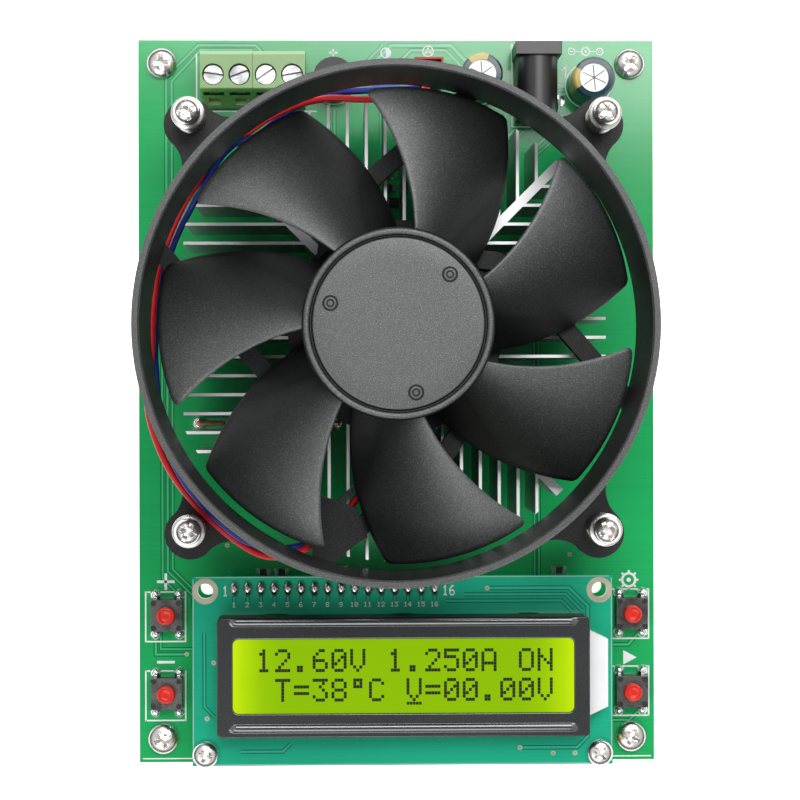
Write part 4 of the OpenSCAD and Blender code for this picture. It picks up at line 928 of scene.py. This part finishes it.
# header joints on the display board use the darker solder: painted dark reflection of the fan above
for x in LPX:
    g.lathe([(0, 0.0), (0.98, 0.0), (0.98, 0.05), (0.88, 0.36), (0.70, 0.76), (0.52, 1.06), (0.34, 1.2), (0, 1.24)],
            (x, LPY + 0.45, LTOP), 28, sy=1.55)
g.build("pin_solder", MAT["solder_painted_dark_reflection"], slot="steel", angle=55)

# underside print
low = Geo()
LOW = [([(-35, 59.3), (-35, 20), (-38.3, 14), (-38.3, -4.3)], 2.6), ([(-30, 59.3), (-30, 30), (-12, 12), (-6.5, 4)], 2.6),
       ([(-25, 59.3), (-25, 36), (-14, 25)], 1.4), ([(-20, 59.3), (-20, 40), (4.45, 15.5), (4.45, -3.8)], 1.8),
       ([(-11.5, -4.3), (-6.45, -4.3), (-6.45, -3.8)], 2.2), ([(26.9, 60.8), (18, 52), (18, 36), (26, 28), (26, -30), (20, -36.1)], 1.2),
       ([(37.3, 58), (44, 51), (44, -30), (40, -34), (25, -34)], 0.9), ([(6.2, 63.5), (10, 59.6), (10, 50), (20, 40), (20, 16)], 0.5)]
for i in range(8):
    x = LPX[i + 3]
    LOW.append(([(x, LPY), (x, -44 - i * 0.9), (-12 + i * 1.27, -52 - i * 0.4), (-12 + i * 1.27, -56)], 0.35))
LOW += [([(-46.85, -38), (-41, -33), (-20, -33), (-14, -39)], 0.4), ([(-46.85, -53), (-38, -46), (-20, -46)], 0.4),
        ([(43.15, -38), (38, -42), (24, -42), (16, -50)], 0.4), ([(43.15, -53), (36, -58), (10, -58), (2, -52)], 0.4)]
for pts, w in LOW:
    track(pts, w, ZB, -1, (0, 1), low)
for x, y in [(-20, 36), (14, 48), (33.6, -30), (-33, -28), (6, 36), (-14, 25), (20, 16), (-20, -46), (16, -50), (2, -52), (25, -34), (-12, -56), (-9.5, -56)]:
    low.ring(x, y, 0.2, 0.5, ZB - 0.02, ZB + E, 24, 3)
for sx in (-1, 1):
    for sy in (-1, 1):
        low.ring(sx * 45.4, sy * 65.4, 3.4, 3.62, ZB - 0.026, ZB + E, 48, 2)
        low.ring(CX + 0.3 + sx * 37.5, CY + 1.0 + sy * 37.5, 1.85, 3.6, ZB - 0.022, ZB + E, 40, 3)
low.build("board_print_below", MAT["board_gap"], mats=[MAT["board_trace"], MAT["silk"], MAT["tin_pad"]], slot="green_board", angle=40)

# small surface-mount parts beside the heatsink's middle, and leads of the chips
g = Geo()         # 0 body, 1 end caps
for x, y, a, w, l in [(-1.4, 44.4, 0, 1.2, 2.0), (1.0, 44.4, 0, 1.2, 2.0), (-1.4, 41.4, 90, 1.2, 2.0), (1.6, 41.6, 0, 1.2, 2.0),
                      (-0.2, 38.6, 90, 1.6, 3.2), (31.5, -33.0, 90, 1.2, 2.0), (-26, -33.2, 90, 1.2, 2.0), (-22.4, -33.2, 90, 1.2, 2.0),
                      (21, -55, 0, 1.2, 2.0), (24, -58, 0, 1.2, 2.0), (-24, -52, 0, 1.2, 2.0), (-20, -57, 90, 1.2, 2.0)]:
    w, l = (l, w) if a else (w, l)
    if a:
        g.box(x - w / 2 + 0.35, x + w / 2 - 0.35, y - l / 2, y + l / 2, ZT + 0.03, ZT + 0.6, 0)
        for s in (-1, 1):
            g.box(x + s * (w / 2 - 0.18) - 0.18, x + s * (w / 2 - 0.18) + 0.18, y - l / 2 - 0.02, y + l / 2 + 0.02, ZT + 0.01, ZT + 0.63, 1)
            g.box(x + s * (w / 2 + 0.15) - 0.35, x + s * (w / 2 + 0.15) + 0.35, y - l / 2 - 0.1, y + l / 2 + 0.1, ZT - E, ZT + 0.12, 1)
    else:
        g.box(x - w / 2, x + w / 2, y - l / 2 + 0.35, y + l / 2 - 0.35, ZT + 0.03, ZT + 0.6, 0)
        for s in (-1, 1):
            g.box(x - w / 2 - 0.02, x + w / 2 + 0.02, y + s * (l / 2 - 0.18) - 0.18, y + s * (l / 2 - 0.18) + 0.18, ZT + 0.01, ZT + 0.63, 1)
            g.box(x - w / 2 - 0.1, x + w / 2 + 0.1, y + s * (l / 2 + 0.15) - 0.35, y + s * (l / 2 + 0.15) + 0.35, ZT - E, ZT + 0.12, 1)
for x, y, w, n in ((LX - 8, LY, 7.5, 14), (LX + 14, LY + 4, 3.9, 4), (LX + 26, LY - 3, 6.5, 2)):
    for s in (-1, 1):
        for i in range(n):
            yy = y + (i - (n - 1) / 2) * 1.27
            xx = x + s * (w / 2 + 0.62)
            g.box(xx - 0.62, xx + 0.62, yy - 0.24, yy + 0.24, ZT - E, ZT + 0.22, 1)
o = g.build("surface_parts", MAT["epoxy"], mats=[MAT["solder"]], slot="chip_epoxy", angle=40)
soften(o, 0.05, 1, 40, False)

# ---------------------------------------------------------------- display
FONT = {"0": (14, 17, 19, 21, 25, 17, 14), "1": (4, 12, 4, 4, 4, 4, 14), "2": (14, 17, 1, 2, 4, 8, 31), "3": (31, 2, 4, 2, 1, 17, 14),
        "4": (2, 6, 10, 18, 31, 2, 2), "5": (31, 16, 30, 1, 1, 17, 14), "6": (6, 8, 16, 30, 17, 17, 14), "7": (31, 1, 2, 4, 8, 8, 8),
        "8": (14, 17, 17, 14, 17, 17, 14), "9": (14, 17, 17, 15, 1, 2, 12), ".": (0, 0, 0, 0, 0, 12, 12), "V": (17, 17, 17, 17, 17, 10, 4),
        "A": (14, 17, 17, 17, 31, 17, 17), "O": (14, 17, 17, 17, 17, 17, 14), "N": (17, 17, 25, 21, 19, 17, 17), "T": (31, 4, 4, 4, 4, 4, 4),
        "=": (0, 0, 31, 0, 31, 0, 0), "d": (14, 10, 14, 0, 0, 0, 0), "C": (14, 17, 16, 16, 16, 17, 14), " ": (0,) * 7}


def dots(geo, text, x, y, px, py, size, z, pitch, mi=0, th=0.03):
    for c, ch in enumerate(text):
        for r, bits in enumerate(FONT[ch]):
            for b in range(5):
                if bits >> (4 - b) & 1:
                    cx, cy = x + c * pitch + (b + 0.5) * px, y - (r + 0.5) * py
                    geo.box(cx - size[0] / 2, cx + size[0] / 2, cy - size[1] / 2, cy + size[1] / 2, z - 0.02, z + th, mi)


g = Geo()
X0, Y1, Y2 = -26.85, -46.5, -52.05
dots(g, "12.60V 1.250A ON", X0, Y1, 0.575, 0.62, (0.55, 0.59), GTOP, 3.52)
dots(g, " T=38dC V=00.00V", X0, Y2, 0.575, 0.62, (0.55, 0.59), GTOP, 3.52)
for b in range(5):
    g.box(X0 + 8 * 3.52 + b * 0.575 + 0.04, X0 + 8 * 3.52 + b * 0.575 + 0.54, Y2 - 4.98, Y2 - 4.44, GTOP - 0.02, GTOP + 0.03)
g.build("display_dots", MAT["lcd_ink"], slot="display_glass", smooth=False)

lp = Geo()        # 0 gap, 1 track, 2 ink, 3 pad
LT = lambda pts, w: track(pts, w, LTOP, 1, (0, 1), lp)
for pts, w in [([(16.9, -35.7), (32.5, -35.7), (36.1, -39.2), (36.1, -42)], 0.5), ([(12.5, -36.9), (31.8, -36.9), (35.0, -40.1)], 0.4),
               ([(9.0, -38.1), (31.0, -38.1), (33.2, -40.2)], 0.4), ([(23.1, -66.1), (34.0, -66.1), (36.0, -64.1), (36.0, -62)], 0.45),
               ([(-30, -66.6), (-22, -66.6), (-20.6, -65.2)], 0.4), ([(-36.9, -44), (-36.9, -58), (-35.0, -60)], 0.35)]:
    LT(pts, w)
for i, x in enumerate(LPX):
    LT([(x, LPY - 0.6), (x, LPY - 2.0)], 0.4)
for x, y in [(16.9, -35.7), (23.1, -66.1), (-35.1, -49.7), (-36.4, -60.3), (36.6, -46.2), (29.4, -67.2), (33.6, -67.2), (38.0, -45.6)]:
    lp.ring(x, y, 0.16, 0.46, LTOP - E, LTOP + 0.022, 24, 3)
for sx in (-1, 1):
    for sy in (-1, 1):
        lp.ring(LX + sx * 37.5, LY + sy * 15.5, 1.47, 2.45, LTOP - E, LTOP + 0.03, 48, 3)
        lp.ring(LX + sx * 37.5, LY + sy * 15.5, 1.47, 2.45, LBOT - 0.03, LBOT + E, 48, 3)
dots(lp, "1", -33.4, LPY + 1.0, 0.2, 0.28, (0.22, 0.3), LTOP, 1.3, 2)
dots(lp, "16", LPX[15] + 1.5, LPY + 1.0, 0.2, 0.28, (0.22, 0.3), LTOP, 1.3, 2)
for i, x in enumerate(LPX):
    s = str(i + 1)
    dots(lp, s, x - 0.4 * len(s), LPY - 2.15, 0.13, 0.13, (0.15, 0.15), LTOP, 0.8, 2)
# pale lines along the board's rim: the cut edge's own tone with a painted highlight along it
for x in (LX - 39.8, LX + 39.8):
    lp.strip([(x, LY - 17.2), (x, LY + 17.8)], 0.16, LTOP - E, LTOP + 0.026, 4)
for y in (LY - 17.5, LY + 18.1):
    lp.strip([(LX - 39.3, y), (LX + 39.3, y)], 0.16, LTOP - E, LTOP + 0.026, 4)
lp.build("display_print", MAT["lcd_gap"], mats=[MAT["lcd_trace"], MAT["silk"], MAT["tin_pad"], MAT["cut_edge"]], slot="display_board", angle=40)

# ---------------------------------------------------------------- display bezel
def rounded(w, h, r, c, nc=10, nx=150, ny=40):
    """Closed loop round a rectangle with rounded corners, the same count on every side."""
    out = []
    X, Y = w / 2 - r, h / 2 - r
    for k, (sx, sy) in enumerate(((1, 1), (-1, 1), (-1, -1), (1, -1))):
        for i in range(nc + 1):
            a = radians(90 * k + 90 * i / nc)
            out.append((c[0] + sx * X + r * cos(a), c[1] + sy * Y + r * sin(a)))
        m = nx if k % 2 == 0 else ny
        p, nxt = out[-1], ((-1, 1), (-1, -1), (1, -1), (1, 1))[k]
        a = radians(90 * (k + 1))
        q = (c[0] + nxt[0] * X + r * cos(a), c[1] + nxt[1] * Y + r * sin(a))
        for i in range(1, m):
            out.append((p[0] + (q[0] - p[0]) * i / m, p[1] + (q[1] - p[1]) * i / m))
    return out


def bezel():
    """Pressed sheet cover: rolled rim, window with a turned edge and two long beads."""
    W, H, cy = 70.0, 22.5, LY - 0.25
    inner = rounded(64.0, 13.9, 1.1, (LX, LY))
    outer = rounded(W, H, 0.9, (LX, cy))
    n = len(inner)
    loops = []

    def bead(x, y):
        h = 0.0
        for yc in (-41.42, -61.35):
            dx = max(0.0, abs(x - LX) - 31.5)
            d = hypot(dx, y - yc)
            if d < 0.75:
                h = max(h, 0.34 * (1 - (d / 0.75) ** 2) ** 0.6)
        return h

    ROWS = [0.0, 0.008, 0.018, 0.03, 0.045, 0.065] + [0.09 + 0.83 * i / 52 for i in range(53)] + [0.94, 0.96, 0.98, 1.0]
    for t in ROWS:
        loop = []
        for (ix, iy), (ox, oy) in zip(inner, outer):
            x, y = ix + (ox - ix) * t, iy + (oy - iy) * t
            ei = hypot(x - ix, y - iy)
            eo = hypot(x - ox, y - oy)
            z = BTOP + bead(x, y)
            if ei < 0.28:
                z -= 0.28 - math.sqrt(max(0.0, 0.28 ** 2 - (0.28 - ei) ** 2))
            if eo < 0.22:
                z -= 0.22 - math.sqrt(max(0.0, 0.22 ** 2 - (0.22 - eo) ** 2))
            loop.append((x, y, z))
        loops.append(loop)
    lip = rounded(W - 1.0, H - 1.0, 0.6, (LX, cy))
    def foot(x, y):
        return LTOP + (3.2 if x > LX + 34 and abs(y - LY) < 8.4 else 0.02)
    for dz in (BTOP - LTOP - 1.2, 3.3):
        loops.append([(x, y, LTOP + dz) for x, y in outer])
    loops.append([(x, y, foot(x, y)) for x, y in outer])
    loops.append([(x, y, foot(x, y)) for x, y in lip])
    loops.append([(x, y, BTOP - 0.52) for x, y in lip])
    loops.append([(x, y, BTOP - 0.52) for x, y in inner])
    v = [p for l in loops for p in l]
    m = len(loops)
    f = []
    for i in range(m):
        a, b = i * n, ((i + 1) % m) * n
        for k in range(n):
            j = (k + 1) % n
            f.append((a + k, a + j, b + j, b + k))
    g = Geo().add(v, f)
    # the rolled rim and the outer wall take the darker material: painted shade along the cover's edge
    k = ROWS.index(0.96)
    g.mi = [1 if k <= i // n < len(ROWS) + 4 else 0 for i in range(len(f))]
    for x in (-24, 0, 24):
        for s in (-1, 1):
            y = cy + s * (H / 2 - 0.3)
            g.box(LX + x - 1.6, LX + x + 1.6, y - 0.25, y + 0.25, LBOT - 1.4, LTOP + 0.3)
    g.build("display_cover", MAT["bezel"], mats=[MAT["bezel_edge"]], slot="black_steel", replaces="lcd_bezel", angle=50)


# ---------------------------------------------------------------- capacitors
g = Geo()         # 0 stripe, 1 score
for (x, y), a0 in zip(CAPS, (150, 70)):
    pts = [(4.02, 2.9), (4.02, 11.5), (3.62, 11.97), (2.72, 12.07)]
    rows, v, f = [], [], []
    m = 15
    for j, (r, z) in enumerate(pts):
        for k in range(m):
            a = radians(a0 + 62 * k / (m - 1))
            v.append((x + r * cos(a), y + r * sin(a), ZT + z))
    for j, (r, z) in enumerate(pts):
        for k in range(m):
            a = radians(a0 + 62 * k / (m - 1))
            v.append((x + (r - 0.03) * cos(a), y + (r - 0.03) * sin(a), ZT + z - (0.03 if j > 1 else 0)))
    q = len(pts) * m
    for j in range(len(pts) - 1):
        for k in range(m - 1):
            a, b = j * m + k, (j + 1) * m + k
            f += [(a, a + 1, b + 1, b), (q + a, q + b, q + b + 1, q + a + 1)]
        f += [(j * m, (j + 1) * m, q + (j + 1) * m, q + j * m), (j * m + m - 1, q + j * m + m - 1, q + (j + 1) * m + m - 1, (j + 1) * m + m - 1)]
    e = (len(pts) - 1) * m
    for k in range(m - 1):
        f += [(k, q + k, q + k + 1, k + 1), (e + k, e + k + 1, q + e + k + 1, q + e + k)]
    g.add(v, f, 0)
    # vent score lines: thin raised strips whose dark colour is painted shade for the grooves
    for a in (35, 95, 155):
        ca, sa = cos(radians(a)), sin(radians(a))
        g.strip([(x - 2.4 * ca, y - 2.4 * sa), (x + 2.4 * ca, y + 2.4 * sa)], 0.22, ZT + 11.83, ZT + 11.862, 1)
g.build("capacitor_marks", MAT["sleeve_gold"], mats=[MAT["score"]], slot="sleeve", angle=40)

# ---------------------------------------------------------------- carried-over nodes: finish and edges
finish_node("main_pcb", MAT["board"])
finish_node("standoffs", MAT["brass"], 0.2)
finish_node("heatsink", MAT["alu"])
finish_node("thermal_pad", MAT["pad"])
finish_node("power_mosfet", MAT["epoxy"], 0.2)
finish_node("shunt_wire", MAT["copper"])
finish_node("temperature_sensor", MAT["epoxy"], 0.1)
finish_node("fan_frame", MAT["frame"], 0.25)
finish_node("cooler_nuts", MAT["steel"], 0.15)
finish_node("bearing_sleeve", MAT["bronze"], 0.1)
finish_node("stator_core", MAT["lamin"])
finish_node("stator_coils", MAT["winding"], 0.4)
finish_node("fan_driver_board", MAT["board"])
finish_node("rotor_yoke", MAT["steel_dark"], 0.1)
finish_node("rotor_magnet", MAT["ferrite"], 0.1)
finish_node("fan_shaft", MAT["steel"], 0.1)
finish_node("fan_header", MAT["red_plug"], 0.08)
finish_node("fan_plug", MAT["dark_plug"], 0.15)
finish_node("lcd_pcb", MAT["lcd_board"])
bezel()
finish_node("lcd_glass", MAT["glass"])
finish_node("lcd_backlight", MAT["white"], 0.2)
finish_node("lcd_zebra_strips", MAT["zebra"], 0.1)
finish_node("lcd_header_base", MAT["black"], 0.15)
finish_node("lcd_header_pins", MAT["gold"], 0.08)
finish_node("lcd_spacers", MAT["brass"], 0.15)
finish_node("lcd_driver_domes", MAT["epoxy"])
finish_node("terminal_housings", MAT["green_block"], 0.15)
finish_node("terminal_pins", MAT["steel"], 0.08)
for i in (1, 2, 3, 4):
    finish_node("terminal_screw_%d" % i, MAT["term_screw"], 0.08)
    finish_node("wire_clamp_%d" % i, MAT["steel_dark"], 0.12)
finish_node("dc_jack_body", MAT["jack"], 0.25, 3)
finish_node("dc_jack_contacts", MAT["steel"], 0.08)
finish_node("capacitor_cans", MAT["can_top"], 0.1)
finish_node("capacitor_sleeves", MAT["sleeve"])
finish_node("buzzer", MAT["black"], 0.2)
finish_node("trimmer_body", MAT["blue_trim"], 0.15)
finish_node("trimmer_rotor", MAT["white"], 0.1)
finish_node("switch_bases", MAT["black"], 0.12)
finish_node("switch_covers", MAT["key_plate"], 0.12)
finish_node("switch_leads", MAT["solder"], 0.05)
finish_node("switch_domes", MAT["steel"])
for n, (x, y) in zip(("up", "down", "set", "start"), KEYS):
    g = Geo()
    g.lathe([(0, 4.66), (0.5, 4.67), (0.95, 4.74), (1.18, 4.86), (1.3, 4.97), (1.4, 5.0), (1.52, 4.98), (1.63, 4.88), (1.69, 4.72), (1.7, 4.5),
             (1.7, 3.15), (2.1, 3.15), (2.15, 3.08), (2.15, 2.5), (2.1, 2.45), (0, 2.45)], (x, y, ZT), 64)
    g.build("key_cap_" + n, MAT["cap_red"], body="key_" + n, slot="cap_red", replaces="button_" + n, angle=38)
finish_node("control_chips", MAT["epoxy"], 0.08)
